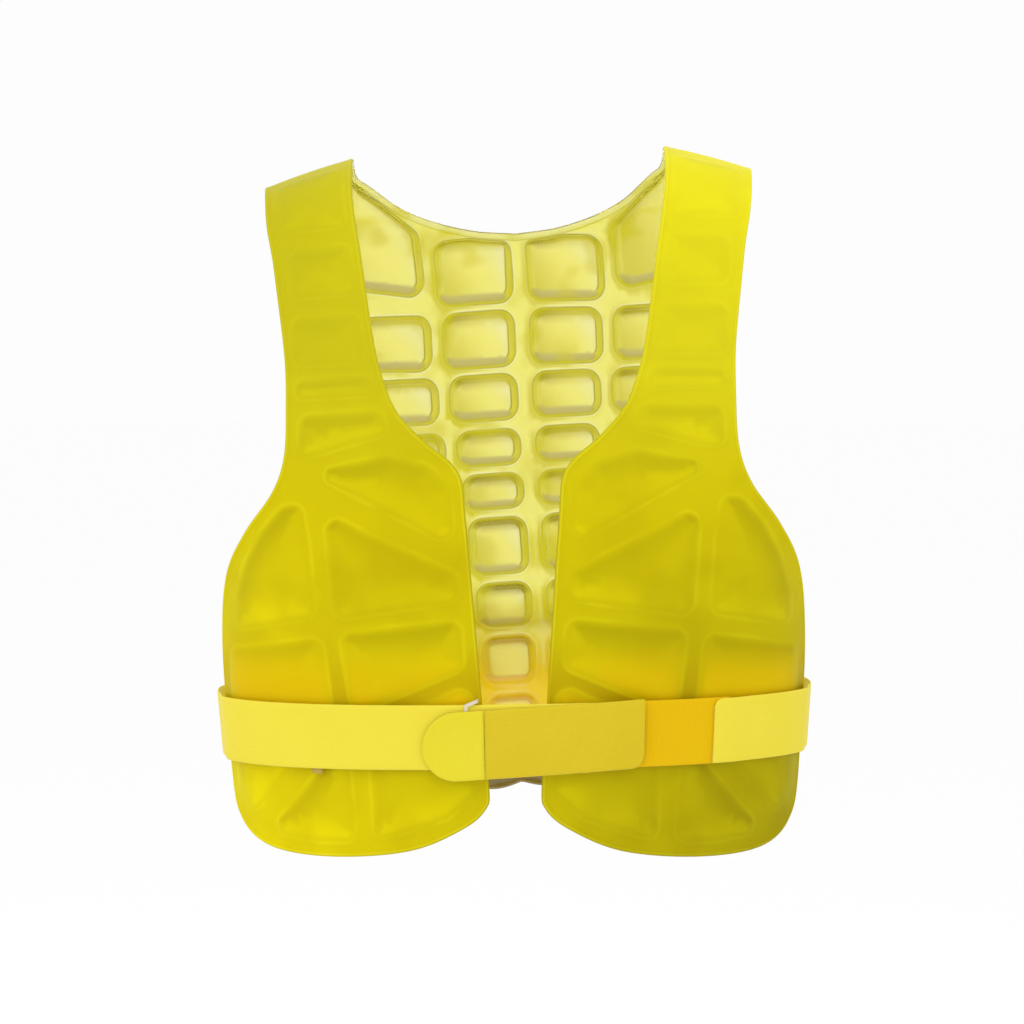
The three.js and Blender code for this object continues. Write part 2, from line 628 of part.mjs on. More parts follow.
// The band runs from the wearer's left front, round the back, to under the strap
function beltBand() {
  const rampStart = BAND_START + ELASTIC_LAP;
  const level = (place) => LAP_STEP * (1 - ease((place - rampStart) / LAP_RAMP));
  return strip({
    from: BAND_START,
    to: GIRTH + BAND_END,
    top: aboveBelt(BAND_WIDTH / 2),
    bottom: aboveBelt(-BAND_WIDTH / 2),
    level,
  });
}

function beltElastic() {
  return strip({
    from: ELASTIC_START,
    to: BAND_START + ELASTIC_LAP,
    top: aboveBelt(ELASTIC_WIDTH / 2),
    bottom: aboveBelt(-ELASTIC_WIDTH / 2),
    level: () => 0,
  });
}

function beltStrap() {
  return strip({
    from: TAB_SEAM + SEAM_GAP / 2,
    to: STRAP_END,
    top: alongStrap(STRAP_BAND_WIDTH / 2),
    bottom: alongStrap(-STRAP_BAND_WIDTH / 2),
    level: () => STRAP_LEVEL,
  });
}

// The tab's free end is a half round
const TAB_END_STEPS = 8;
const TAB_BLUNT = 0.06; // share of the half width left at the very tip
function beltTab() {
  const radius = STRAP_BAND_WIDTH / 2;
  const half = (place) => {
    const fromCentre = Math.max(TAB_TIP + radius - place, 0) / radius;
    return radius * Math.max(Math.sqrt(Math.max(1 - fromCentre ** 2, 0)), TAB_BLUNT);
  };
  const round = Array.from({ length: TAB_END_STEPS }, (_, i) =>
    TAB_TIP + radius * (1 - Math.cos(((Math.PI / 2) * i) / TAB_END_STEPS)));
  const straight = [TAB_TIP + radius, (TAB_TIP + radius + TAB_SEAM) / 2, TAB_SEAM - SEAM_GAP / 2];
  return stripAt({
    places: [...round, ...straight],
    top: (place) => alongStrap(half(place))(place),
    bottom: (place) => alongStrap(-half(place))(place),
    level: () => STRAP_LEVEL,
    thick: BELT_THICKNESS,
  });
}

// Hook tape between band and tab. A bent scrap of it stands up past the band's edge: a
// narrow upright, and an arm that slants up from it
function hookTape() {
  const { start, end, tall, thick, stub, proud, arm } = HOOK_TAPE;
  const uprightStart = end - stub;
  const armStart = uprightStart + arm;
  const slant = (place) => aboveBelt(
    BAND_WIDTH / 2 + SEAM_GAP + (proud * (place - uprightStart)) / stub)(place);
  return stripAt({
    places: [
      start, (start + uprightStart) / 2, uprightStart, uprightStart + SEAM_GAP,
      armStart, armStart + SEAM_GAP, end,
    ],
    top: (place) => (place > uprightStart ? slant(place) : alongStrap(tall / 2)(place)),
    bottom: (place) => (place > armStart ? slant(place) - arm : alongStrap(-tall / 2)(place)),
    level: () => LAP_STEP,
    thick,
  });
}

// Anchor tape between panel and band, with its end below the band
function anchorTape() {
  const { start, end, tall, thick, below } = ANCHOR_TAPE;
  return strip({
    from: start,
    to: end,
    top: aboveBelt(-BAND_WIDTH / 2 - below + tall),
    bottom: aboveBelt(-BAND_WIDTH / 2 - below),
    level: () => (-BELT_CLEARANCE - thick) / 2,
    thick,
    step: (end - start) / 2,
  });
}

function piece(name, geometry, colour, roughness) {
  const material = new THREE.MeshStandardMaterial({ color: colour, roughness, metalness: 0 });
  const mesh = new THREE.Mesh(geometry, material);
  mesh.name = name;
  return mesh;
}

const vest = new THREE.Group();
vest.add(
  piece("left_front_panel", frontPanel(1), COLOURS.film, 0.45),
  piece("right_front_panel", frontPanel(-1), COLOURS.film, 0.45),
  piece("back_panel", backPanel(), COLOURS.backFilm, 0.25),
  piece("belt_band", beltBand(), COLOURS.band, 0.75),
  piece("belt_elastic", beltElastic(), COLOURS.elastic, 0.85),
  piece("belt_strap", beltStrap(), COLOURS.strap, 0.7),
  piece("belt_tab", beltTab(), COLOURS.band, 0.7),
  piece("hook_tape", hookTape(), COLOURS.hook, 0.9),
  piece("anchor_tape", anchorTape(), COLOURS.anchor, 0.9),
);

export default vest;
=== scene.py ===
# %% [markdown]
# # A cooling vest of welded film
#
# The real vest is two sheets of soft, clear yellow film. A heated tool welds them to each
# other along a net of lines, and the pockets between the lines hold cooling gel. A belt of
# webbing goes round the waist. Nobody wears it here, but it keeps the form of a trunk.
#
# This file dresses the part's plain solids. It draws each panel again, far finer, over the
# same form and from the same sizes, then gives film, webbing and elastic their finishes.

# %% Load the frame
import math

import bpy
import numpy as np
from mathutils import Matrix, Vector, kdtree, noise
from mathutils.geometry import delaunay_2d_cdt


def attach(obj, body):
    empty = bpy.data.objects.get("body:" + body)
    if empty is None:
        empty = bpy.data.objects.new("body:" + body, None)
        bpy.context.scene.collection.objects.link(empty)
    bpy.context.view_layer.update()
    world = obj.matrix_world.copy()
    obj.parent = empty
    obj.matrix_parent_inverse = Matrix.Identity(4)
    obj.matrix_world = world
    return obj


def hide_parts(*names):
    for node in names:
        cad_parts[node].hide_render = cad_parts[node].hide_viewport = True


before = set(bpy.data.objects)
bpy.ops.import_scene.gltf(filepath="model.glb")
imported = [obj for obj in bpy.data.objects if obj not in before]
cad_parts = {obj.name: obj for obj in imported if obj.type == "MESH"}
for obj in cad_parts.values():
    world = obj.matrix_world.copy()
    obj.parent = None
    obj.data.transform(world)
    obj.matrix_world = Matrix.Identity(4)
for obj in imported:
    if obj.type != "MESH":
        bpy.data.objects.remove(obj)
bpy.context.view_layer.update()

MM = 0.001
print("nodes:", sorted(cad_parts))

# %% [markdown]
# ## Camera
#
# The vest was photographed nearly level, from a little above, with a long lens, so that
# its front looks almost flat. A camera is easiest to place by what it looks at: one point
# on the vest's middle line, a distance and an angle above the level. The lens then follows
# from how large the vest is in the picture.

# %% Camera
AIM = Vector((-3.2, 0, -255.5)) * MM
DISTANCE = 2210 * MM
ELEVATION = math.radians(4)
FRAME = 1024  # the photograph's side, in pixels
FOCAL = 2966  # focal length in the same pixels
SENSOR = 36

camera_data = bpy.data.cameras.new("camera")
camera_data.sensor_width = SENSOR
camera_data.lens = FOCAL / FRAME * SENSOR
camera_data.clip_end = 60
camera = bpy.data.objects.new("camera", camera_data)
bpy.context.scene.collection.objects.link(camera)
camera.location = AIM + DISTANCE * Vector((0, -math.cos(ELEVATION), math.sin(ELEVATION)))
camera.rotation_euler = (math.pi / 2 - ELEVATION, 0, 0)
bpy.context.scene.camera = camera
print(f"lens {camera_data.lens:.1f} mm")

# %% [markdown]
# ## Colours and nodes
#
# Colours are written as a picture editor shows them, in sRGB hex. Blender mixes light in
# linear values, so one function turns each one over. A second small function adds a node
# to a material, sets it and links it, and every finish below is built with it and ends in
# the same kind of shader.

# %% Helpers for materials
def linear(hex_colour):
    """sRGB hex as linear red, green, blue and alpha."""
    parts = [int(hex_colour[i:i + 2], 16) / 255 for i in (1, 3, 5)]
    return [c / 12.92 if c <= 0.04045 else ((c + 0.055) / 1.055) ** 2.4 for c in parts] + [1]


def add_node(tree, kind, settings, links=None):
    """Adds a node. Settings name an input or a property, links pair an input with an output."""
    node = tree.nodes.new("ShaderNode" + kind)
    for key, value in settings.items():
        if isinstance(key, int) or key in node.inputs:
            node.inputs[key].default_value = value
        else:
            setattr(node, key, value)
    for key, output in (links or {}).items():
        tree.links.new(output, node.inputs[key])
    return node


def new_material(name):
    """An empty material and its node tree."""
    material = bpy.data.materials.new(name)
    material.use_nodes = True
    material.node_tree.nodes.clear()
    return material, material.node_tree


def finished(material, settings, links):
    """Ends a material with its shader."""
    tree = material.node_tree
    surface = add_node(tree, "BsdfPrincipled", settings, links)
    add_node(tree, "OutputMaterial", {}, {"Surface": surface.outputs["BSDF"]})
    print(f"{material.name}: roughness {settings['Roughness']}")
    return material


# %% [markdown]
# ## Floor and light
#
# The picture was taken in a white surround, where light comes from all sides and shadows
# all but vanish. A white sky gives that. One large soft lamp above and in front makes the
# low relief of the cells show, as it does over a light tent, and a weaker one from the
# left rounds the panels. A third, very weak, hangs inside the vest for the light that the
# pale film throws back and forth there. The lamps are hidden from camera, gloss and clear
# film, so none shows as a bright disc. Standard colour management leaves white as white.

# %% Floor, sky and lamps
bpy.context.scene.view_settings.view_transform = "Standard"
FLOOR_LEVEL = -1.15  # the vest hangs well clear of it
FLOOR_RADIUS = 25

floor_mesh = bpy.data.meshes.new("floor")
FLOOR_SIDES = 96
turns = [2 * math.pi * i / FLOOR_SIDES for i in range(FLOOR_SIDES)]
floor_mesh.from_pydata(
    [(FLOOR_RADIUS * math.cos(a), FLOOR_RADIUS * math.sin(a), FLOOR_LEVEL) for a in turns],
    [], [range(FLOOR_SIDES)],
)
floor = bpy.data.objects.new("floor", floor_mesh)
bpy.context.scene.collection.objects.link(floor)
paper, _ = new_material("matt white paper")
floor_mesh.materials.append(finished(paper, {
    "Base Color": linear("#fbfbfb"), "Roughness": 0.9, "Specular IOR Level": 0.2,
    "Emission Color": linear("#ffffff"), "Emission Strength": 0.03}, {}))

world = bpy.data.worlds.new("white surround")
world.use_nodes = True
world.node_tree.nodes.clear()
sky = add_node(world.node_tree, "Background", {
    "Color": linear("#fdfdfd"), "Strength": 1.0})
add_node(world.node_tree, "OutputWorld", {}, {"Surface": sky.outputs[0]})
bpy.context.scene.world = world

# place and what it points at, in metres, size across, and power in watts
LAMPS = {
    "overhead": ((-0.3, -1.3, 1.5), (0, 0, -0.25), 1.2, 9),
    "left side": ((-2.2, -1.2, 0.3), (0, 0, -0.25), 1.0, 3),
    "inside": ((0, -0.035, -0.37), (0, 0.1, -0.35), 0.09, 0.025),
}
for name, (place, target, size, power) in LAMPS.items():
    lamp_data = bpy.data.lights.new(name, "AREA")
    lamp_data.shape = "DISK"
    lamp_data.size = size
    lamp_data.energy = power
    lamp = bpy.data.objects.new(name, lamp_data)
    bpy.context.scene.collection.objects.link(lamp)
    lamp.location = place
    lamp.visible_camera = lamp.visible_transmission = lamp.visible_glossy = False
    lamp.rotation_euler = (Vector(target) - Vector(place)).to_track_quat("-Z", "Y").to_euler()
print("lamps:", ", ".join(LAMPS))

# %% [markdown]
# ## The form under the film
#
# Film that hangs on a person takes the person's form, so all panels share one: a rounded
# box of a trunk, a bend over the shoulders, and a slope from neck to arm. It could be
# sculpted, but a formula of a few body sizes is exact, and it is the one that the solids
# follow. A place on it is a distance round the body and a distance down the film.

# %% Sizes of the form, in millimetres
CHEST_HALF_WIDTH = 221
CHEST_FRONT_DEPTH = 112
CHEST_BACK_DEPTH = 102
FRONT_TUCK = 12
LUMBAR_HOLLOW = 20
HEM_TAPER = 10
TRUNK_LENGTH = 505
SECTION_POWER = 2.4
SHOULDER_ARCH = 105
SHOULDER_ARC = 161
SHOULDER_FALL = 33
SHOULDER_SPREAD = 180
FALL_REACH = 300
SHOULDER_ROLL = 0.04
BACK_ROLL = 0.075
SHOULDER_DRIFT = -6
BACK_SWING_TOP = 7.3
BACK_SWING_HEM = 19.5
SWING_DELAY = 1.3  # higher keeps the spine straight for longer
NECK_HALF_WIDTH = 115
STRAP_WIDTH = 70
# shares of the trunk's length, down from the shoulders
NECK_SHARE = 0.2
BLADE_SHARE = 0.5
TUCK_START = 0.45
TAPER_START = 0.6
WAIST_SHARE = 0.85
HOLLOW_REACH = 0.5


# %% The form as functions
def ease(t):
    t = np.clip(t, 0, 1)
    return t * t * (3 - 2 * t)


def lerp(a, b, share):
    return a + (b - a) * share


SECTION_DEPTH = (CHEST_FRONT_DEPTH + CHEST_BACK_DEPTH) / 2
turn = np.linspace(0, math.pi / 2, 401)
SECTION_X = np.sin(turn) ** (2 / SECTION_POWER)
SECTION_Y = np.abs(np.cos(turn)) ** (2 / SECTION_POWER)
steps = np.hypot(np.diff(SECTION_X) * CHEST_HALF_WIDTH, np.diff(SECTION_Y) * SECTION_DEPTH)
SECTION_LENGTH = np.concatenate([[0], np.cumsum(steps)])
QUARTER_GIRTH = SECTION_LENGTH[-1]


def section_at(around):
    """Shares of half width and depth at a distance round the body."""
    length = np.minimum(np.abs(around), QUARTER_GIRTH)
    x = np.interp(length, SECTION_LENGTH, SECTION_X)
    return np.sign(around) * x, np.interp(length, SECTION_LENGTH, SECTION_Y)


def past(share, start):
    """0 up to a share of the trunk's length, easing to 1 at the hem."""
    return ease((share - start) / (1 - start))


def half_width(share):
    return CHEST_HALF_WIDTH - HEM_TAPER * past(share, TAPER_START)


def depth_at(share, is_back):
    if not is_back:
        return -(CHEST_FRONT_DEPTH - FRONT_TUCK * past(share, TUCK_START))
    from_waist = np.minimum(np.abs(share - WAIST_SHARE) / HOLLOW_REACH, 1)
    return CHEST_BACK_DEPTH - LUMBAR_HOLLOW * np.cos(math.pi / 2 * from_waist) ** 2


def roll_at(share, is_back):
    if is_back:
        return lerp(SHOULDER_ROLL, BACK_ROLL, np.minimum(share / BLADE_SHARE, 1))
    return SHOULDER_ROLL * (1 - ease(share))


def back_swing(share):
    """How far the spine swings to the wearer's left."""
    low = BACK_SWING_HEM * ease(share) ** SWING_DELAY
    return BACK_SWING_TOP * ease(share / NECK_SHARE) + low


def form_point(around, down, is_back):
    """Points of the form, in millimetres."""
    bend = np.minimum(down / SHOULDER_ARC, 1) * math.pi / 2
    drop = SHOULDER_ARCH * (1 - np.cos(bend)) + np.maximum(down - SHOULDER_ARC, 0)
    share = drop / TRUNK_LENGTH
    section_x, section_y = section_at(around + (back_swing(share) if is_back else 0))
    x = half_width(share) * section_x
    middle = NECK_HALF_WIDTH + STRAP_WIDTH / 2
    fall = SHOULDER_FALL * (x**2 - middle**2) / SHOULDER_SPREAD**2
    return np.stack([
        x + SHOULDER_DRIFT * (1 - share),
        depth_at(share, is_back) * section_y * np.sin(bend),
        -drop - fall * (1 - ease(down / FALL_REACH)) + roll_at(share, is_back) * x,
    ], axis=-1)


def normals_of(surface, a, b, probe=0.5):
    """Unit normals of a surface that is a function of two lengths."""
    along_a = surface(a + probe, b) - surface(a - probe, b)
    along_b = surface(a, b + probe) - surface(a, b - probe)
    normal = np.cross(along_a, along_b)
    return normal / np.linalg.norm(normal, axis=-1, keepdims=True)


print(f"girth {4 * QUARTER_GIRTH:.0f} mm")

# %% [markdown]
# ## The flat patterns
#
# The film is welded and cut flat, before anyone wears it. So each panel starts as a flat
# pattern too: an outline, and the corners of each cell, as shares of the panel's sizes.
# Working flat keeps the cells' corners round and their walls even, which is hard to keep
# when a bent surface is cut up in place.

# %% Sizes of the panels
FRONT_LENGTH = 555
BACK_LENGTH = 531
SIDE_EDGE = 240
FILM = 2.4
SPINE_WEB = 12
CELL_WEB = 9
EDGE_WEB = 10
SHOULDER_GAP = 0.4
HEM_SCALLOP = 4.5
SCALLOPS = 4.5  # from the side of the hem to the middle of the one on the spine
CELL_CORNER = 10
MOST_CUT = 17  # a sharp corner is rounded with a smaller radius, and keeps its tip

FRONT_OUTLINE = [
    # across, down
    (0.479, 0.0), (0.469, 0.135), (0.435, 0.238), (0.4, 0.339), (0.371, 0.386),
    (0.333, 0.422), (0.258, 0.456), (0.183, 0.482), (0.148, 0.506), (0.138, 0.55),
    (0.121, 0.645), (0.1, 0.778), (0.081, 0.901), (0.092, 0.933), (0.167, 0.96),
    (0.333, 0.989), (0.583, 1.0), (0.812, 0.993), (0.946, 0.963), (0.998, 0.915),
    (1.0, 0.793), (0.979, 0.703), (0.938, 0.631), (0.842, 0.573), (0.738, 0.521),
    (0.692, 0.472), (0.682, 0.405), (0.685, 0.333), (0.717, 0.22), (0.75, 0.135),
    (0.771, 0.0),
]
FRONT_CELLS = {
    "strap top": [(0.492, 0.066), (0.727, 0.056), (0.71, 0.173), (0.469, 0.191)],
    "strap upper": [(0.46, 0.211), (0.675, 0.197), (0.665, 0.268), (0.44, 0.277)],
    "strap middle": [(0.433, 0.295), (0.665, 0.286), (0.662, 0.356), (0.415, 0.359)],
    "strap short": [(0.408, 0.37), (0.654, 0.37), (0.654, 0.399), (0.394, 0.4)],
    "strap foot": [
        (0.377, 0.413), (0.644, 0.415), (0.646, 0.473), (0.575, 0.472), (0.354, 0.447)],
    "chest": [(0.171, 0.514), (0.24, 0.483), (0.367, 0.468), (0.614, 0.492), (0.167, 0.595)],
    "rib": [(0.154, 0.624), (0.57, 0.539), (0.545, 0.688), (0.156, 0.663)],
    "side": [
        (0.627, 0.531), (0.7, 0.533), (0.785, 0.571), (0.85, 0.614),
        (0.892, 0.66), (0.893, 0.708), (0.588, 0.685), (0.604, 0.587)],
    "waist outer": [(0.571, 0.705), (0.93, 0.728), (0.948, 0.823), (0.552, 0.814)],
    "waist inner": [(0.15, 0.681), (0.53, 0.7), (0.498, 0.815), (0.142, 0.75)],
    "hem outer": [(0.583, 0.834), (0.948, 0.843), (0.948, 0.918), (0.867, 0.955)],
    "hem middle": [(0.514, 0.836), (0.818, 0.974), (0.625, 0.983), (0.496, 0.981)],
    "hem inner": [
        (0.125, 0.764), (0.457, 0.832), (0.45, 0.977),
        (0.367, 0.969), (0.208, 0.948), (0.113, 0.91)],
}
BACK_NECKLINE = [
    (0.479, 0.0), (0.479, 0.081), (0.446, 0.113), (0.375, 0.158),
    (0.304, 0.184), (0.217, 0.203), (0.117, 0.216), (0.0, 0.222),
]
BACK_ARM_SIDE = [
    (0.771, 0.0), (0.74, 0.141), (0.69, 0.235), (0.645, 0.339), (0.63, 0.418),
    (0.64, 0.486), (0.672, 0.55), (0.73, 0.61), (0.803, 0.68), (0.855, 0.75),
    (0.882, 0.84), (0.882, 0.927), (0.86, 0.975), (0.8, 0.994),
]
SHOULDER_CELL = [
    (0.312, 0.209), (0.383, 0.173), (0.458, 0.13), (0.504, 0.072),
    (0.722, 0.062), (0.645, 0.262), (0.5, 0.277), (0.31, 0.298),
]
BACK_ROWS = [
    # top, bottom, reach of the inner cell, cells beside it, rise of the outer end
    (0.224, 0.311, 0.271, 0, 0.0),
    (0.321, 0.395, 0.258, 1, 0.012),
    (0.405, 0.467, 0.244, 1, 0.006),
    (0.48, 0.53, 0.231, 1, 0.0),
    (0.542, 0.593, 0.221, 1, 0.0),
    (0.606, 0.688, 0.212, 2, 0.0),
    (0.701, 0.765, 0.202, 2, 0.0),
    (0.778, 0.849, 0.198, 2, 0.0),
    (0.863, 0.928, 0.196, 2, 0.0),
    (0.942, 0.981, 0.196, 2, 0.0),
]


# %% From shares to millimetres
STRAP_FROM, STRAP_TO = FRONT_OUTLINE[0][0], FRONT_OUTLINE[-1][0]
STRAP_ENDS, CHEST_STARTS = 0.2, 0.5  # shares of the panel's length


def placed(rows, length):
    """Rows of across and down shares as points of the flat pattern."""
    across, down = np.array(rows, float).T
    chest = across * SIDE_EDGE
    strap = NECK_HALF_WIDTH + (across - STRAP_FROM) / (STRAP_TO - STRAP_FROM) * STRAP_WIDTH
    to_chest = ease((down - STRAP_ENDS) / (CHEST_STARTS - STRAP_ENDS))
    return np.stack([lerp(strap, chest, to_chest), down * length], axis=-1)


# %% [markdown]
# ## Lines of the pattern
#
# Two kinds of line bound the film. The cut edge is one flowing curve through the points
# above. A weld round a cell is a run of straight sides with round corners, since the tool
# that presses it is milled with one cutter. Both are drawn as close points with a normal
# at each, because every ridge and wall next to them is the same line moved inwards.

# %% Smooth edge lines
CURVE_STEPS = 24  # between two points of an outline, before they are spaced evenly


def smooth_line(points, step):
    """A curve through points, as new points about one step apart."""
    padded = np.concatenate([points[:1], points, points[-1:]])
    t = np.linspace(0, 1, CURVE_STEPS, endpoint=False)[:, None]
    dense = []
    for p0, p1, p2, p3 in zip(padded, padded[1:], padded[2:], padded[3:]):
        v1, v2 = (p2 - p0) / 2, (p3 - p1) / 2
        dense.append((2 * p1 - 2 * p2 + v1 + v2) * t**3
                     + (3 * p2 - 3 * p1 - 2 * v1 - v2) * t**2 + v1 * t + p1)
    return respaced(np.concatenate([*dense, points[-1:]]), step)


def respaced(points, step):
    """Points of a line, evenly spaced at about one step."""
    length = np.concatenate([[0], np.cumsum(np.hypot(*np.diff(points, axis=0).T))])
    at = np.linspace(0, length[-1], max(2, round(length[-1] / step) + 1))
    return np.stack([np.interp(at, length, points[:, k]) for k in (0, 1)], axis=-1)


# %% Round-cornered cells
SIDE_SHARE = 0.42  # a round corner takes at most this share of a side
LEAST_TURN = 0.01  # radians, so that a straight corner still has a radius


def area_of(ring):
    x, y = ring.T
    return (x * np.roll(y, -1) - y * np.roll(x, -1)).sum() / 2


def cell_line(corners, step):
    """Closed line round a cell, with round corners."""
    if area_of(corners) < 0:
        corners = corners[::-1]
    sides = np.roll(corners, -1, axis=0) - corners
    lengths = np.hypot(*sides.T)
    along = sides / lengths[:, None]
    inward = np.stack([-along[:, 1], along[:, 0]], axis=-1)
    before = np.roll(along, 1, axis=0)
    turns = np.arctan2(
        before[:, 0] * along[:, 1] - before[:, 1] * along[:, 0], (before * along).sum(axis=1))
    turns = np.maximum(turns, LEAST_TURN)
    room = SIDE_SHARE * np.minimum(lengths, np.roll(lengths, 1))
    cuts = np.minimum(np.minimum(CELL_CORNER * np.tan(turns / 2), MOST_CUT), room)
    points = []
    for i, corner in enumerate(corners):
        bow = cuts[i] / math.tan(turns[i] / 2)
        centre = corner - along[i - 1] * cuts[i] + inward[i - 1] * bow
        count = max(2, round(bow * turns[i] / step) + 1)
        for k in range(count):
            normal = lerp(inward[i - 1], inward[i], k / (count - 1))
            points.append(centre - normal / np.hypot(*normal) * bow)
        after = (i + 1) % len(corners)
        start = corner + along[i] * cuts[i]
        end = corners[after] - along[i] * cuts[after]
        pieces = max(1, round(np.hypot(*(end - start)) / step))
        points += [lerp(start, end, k / pieces) for k in range(1, pieces)]
    return np.array(points)


def inward_normals(line, closed):
    """Unit normals of a line, towards its left."""
    if closed:
        along = np.roll(line, -1, axis=0) - np.roll(line, 1, axis=0)
    else:
        along = np.gradient(line, axis=0)
    normals = np.stack([-along[:, 1], along[:, 0]], axis=-1)
    return normals / np.maximum(np.hypot(*normals.T), 1e-9)[:, None]


# %% [markdown]
# ## Welds, walls and cut edges
#
# Across a weld the film is thin, with a small bead where the melt was pushed aside. Past
# the bead the cell's wall rises to a floor that the gel pushes out a little. A bump map
# could fake this, but the low light along the walls is what makes the cells read, so they
# are real shape: rings of points round each cell, each ring at a height from a table.

# %% Profiles across a cell's wall and a cut edge, in millimetres
FRONT_WALL = [
    # distance inside the weld line, height of the outer skin, height of the inner skin
    (-2.6, 0.0, 0.0), (-1.5, 0.2, 0.0), (-0.2, 0.4, 0.05), (1.2, 0.4, 0.1),
    (2.6, 0.5, 0.3), (4.4, 0.8, 0.6), (6.8, 1.2, 0.9), (10.0, 1.5, 1.1),
]
BACK_WALL = [
    (-2.2, 0.0, 0.0), (-1.3, 0.1, -0.35), (-0.4, 0.3, -0.2), (0.4, 1.0, 0.6),
    (1.6, 3.0, 2.2), (3.2, 5.2, 4.1), (4.6, 6.1, 4.9), (6.2, 6.4, 5.1),
]
FRONT_DOME, BACK_DOME = 0.7, 0.9  # how much further the middle of a wide floor stands
DOME_REACH = 20
EDGE = [
    # inset from the cut, share of the film's half thickness
    (0.0, 0.3), (0.35, 0.8), (0.9, 1.0), (1.6, 1.4), (2.2, 1.3), (2.8, 1.0),
]
EDGE_MARGIN = 5.8  # a weld line stays this far inside the cut
SLACK = 0.35  # how much the film wanders off its true form
SLACK_LENGTH = 55


# %% Which points lie where
def inside(points, ring):
    """Whether points lie in a closed ring."""
    result = np.zeros(len(points), bool)
    low, high = ring.min(axis=0), ring.max(axis=0)
    near = np.flatnonzero(((points >= low) & (points <= high)).all(axis=1))
    if not len(near):
        return result
    x, y = points[near].T[:, :, None]
    (x0, y0), (x1, y1) = ring.T, np.roll(ring, -1, axis=0).T
    crosses = (y0 > y) != (y1 > y)
    rise = np.where(y1 == y0, 1, y1 - y0)
    result[near] = (crosses & (x < (x1 - x0) * (y - y0) / rise + x0)).sum(axis=1) % 2 == 1
    return result


def finder(points):
    """Tree that finds the nearest of some points of a pattern."""
    tree = kdtree.KDTree(len(points))
    for i, point in enumerate(points):
        tree.insert((*point, 0), i)
    tree.balance()
    return tree


def between(points, outer, holes):
    """Whether points lie in an outer ring and in none of the holes."""
    kept = inside(points, outer)
    for hole in holes:
        kept &= ~inside(points, hole)
    return kept


# %% Points and faces of a flat pattern
# weld: mm inside a cell's weld line; edge: mm inside the cut edge; lens: 1 at a cell's top
# wall, -1 at its bottom wall; side: 1 at its right wall, -1 at its left wall; glow: 1 at its
# upper right, -1 at its lower left. These are the values of the open film between the cells.
OPEN_FILM = {"weld": -9.0, "edge": 9.0, "lens": 0.0, "side": 0.0, "glow": 0.0}
ROW_PITCH = 0.87  # rows of loose points, as a share of their spacing: even triangles
LEAST_GAP = 0.55  # between a loose point and a ring, as a share of the same


class Pattern:
    """Points of one panel's flat pattern, each with what the film is there."""

    def __init__(self):
        self.points, self.faces = [], []
        self.values = {key: [] for key in OPEN_FILM}

    def add(self, points, **given):
        first = len(self.points)
        self.points += [tuple(p) for p in points]
        for key, usual in OPEN_FILM.items():
            self.values[key] += list(np.broadcast_to(given.get(key, usual), len(points)))
        return list(range(first, first + len(points)))

    def bridge(self, rings):
        """Quads between rings of as many points, each inside the one before."""
        for ring, inner in zip(rings, rings[1:]):
            for i, (a, d) in enumerate(zip(ring, inner)):
                after = (i + 1) % len(ring)
                self.faces.append((a, ring[after], inner[after], d))

    def fill(self, outer, holes, step, **given):
        """Triangles between an outer ring and holes, with loose points in the open."""
        flat = np.array(self.points)
        outline, cut_outs = flat[outer], [flat[hole] for hole in holes]
        low, high = outline.min(axis=0), outline.max(axis=0)
        rows = np.arange(low[1] + step / 2, high[1], step * ROW_PITCH)
        grid = np.array([(x + step / 2 * (k % 2), y) for k, y in enumerate(rows)
                         for x in np.arange(low[0], high[0], step)]).reshape(-1, 2)
        rings = [outer, *holes]
        fixed = [i for ring in rings for i in ring]
        near = finder(flat[fixed])
        if len(grid):
            gaps = np.array([near.find((*point, 0))[2] for point in grid])
            grid = grid[between(grid, outline, cut_outs) & (gaps > LEAST_GAP * step)]
        found = [near.find((*point, 0)) for point in grid]
        loose = self.add(grid, **{key: value(grid, found) for key, value in given.items()})
        indices = fixed + loose
        local = {index: i for i, index in enumerate(indices)}
        flat = np.array(self.points)
        edges = [(local[a], local[b]) for ring in rings for a, b in zip(ring, ring[1:] + ring[:1])]
        made = delaunay_2d_cdt([Vector(flat[i]) for i in indices], edges, [], 0, 1e-5, True)
        source = [indices[ids[0]] if ids else None for ids in made[3]]
        faces = [f for f in made[2] if all(source[v] is not None for v in f)]
        centres = np.array([np.mean([made[0][v] for v in f], axis=0) for f in faces])
        keep = between(centres, outline, cut_outs)
        self.faces += [tuple(source[v] for v in f) for f, kept in zip(faces, keep) if kept]


# %% [markdown]
# ## From pattern to panel
#
# A panel is built from the outside in. Rings follow the cut edge, rings follow each weld,
# and loose points fill the rest, joined by a Delaunay triangulation, which keeps its
# triangles as even as it can. Then all points are laid on the form twice, for the outer
# and the inner skin, each moved out along the form's normal by its height.

# %% Light and room in a cell
GLOW_ACROSS, GLOW_UP = 0.65, 0.35  # how much each way counts for the glow
WALL_SHARE = 0.86  # of the room between a cell's middle and its weld line
LEAST_DEPTH = 0.5  # mm, points of the line nearer than this to its tangent don't count
ROOM_REACH = 3  # points either way over which the room is evened out
SIDE_START = -1  # mm inside the weld line at which a side wall's tint starts


def glow_in(line, points):
    """Place in a cell: 1 at its upper right, -1 at its lower left."""
    low, high = line.min(axis=0), line.max(axis=0)
    across, down = ((np.reshape(points, (-1, 2)) - low) / (high - low) * 2 - 1).T
    return GLOW_ACROSS * across - GLOW_UP * down


def lens_fade(distance, reach):
    """How strongly light bent by a cell's wall shows at a distance inside it."""
    start, length, power = reach
    return ease(distance / start) * math.exp(-((max(distance, 0) / length) ** power))


def smoothed(line, times=2):
    for _ in range(times):
        line = (np.roll(line, 1, axis=0) + 2 * line + np.roll(line, -1, axis=0)) / 4
    return line


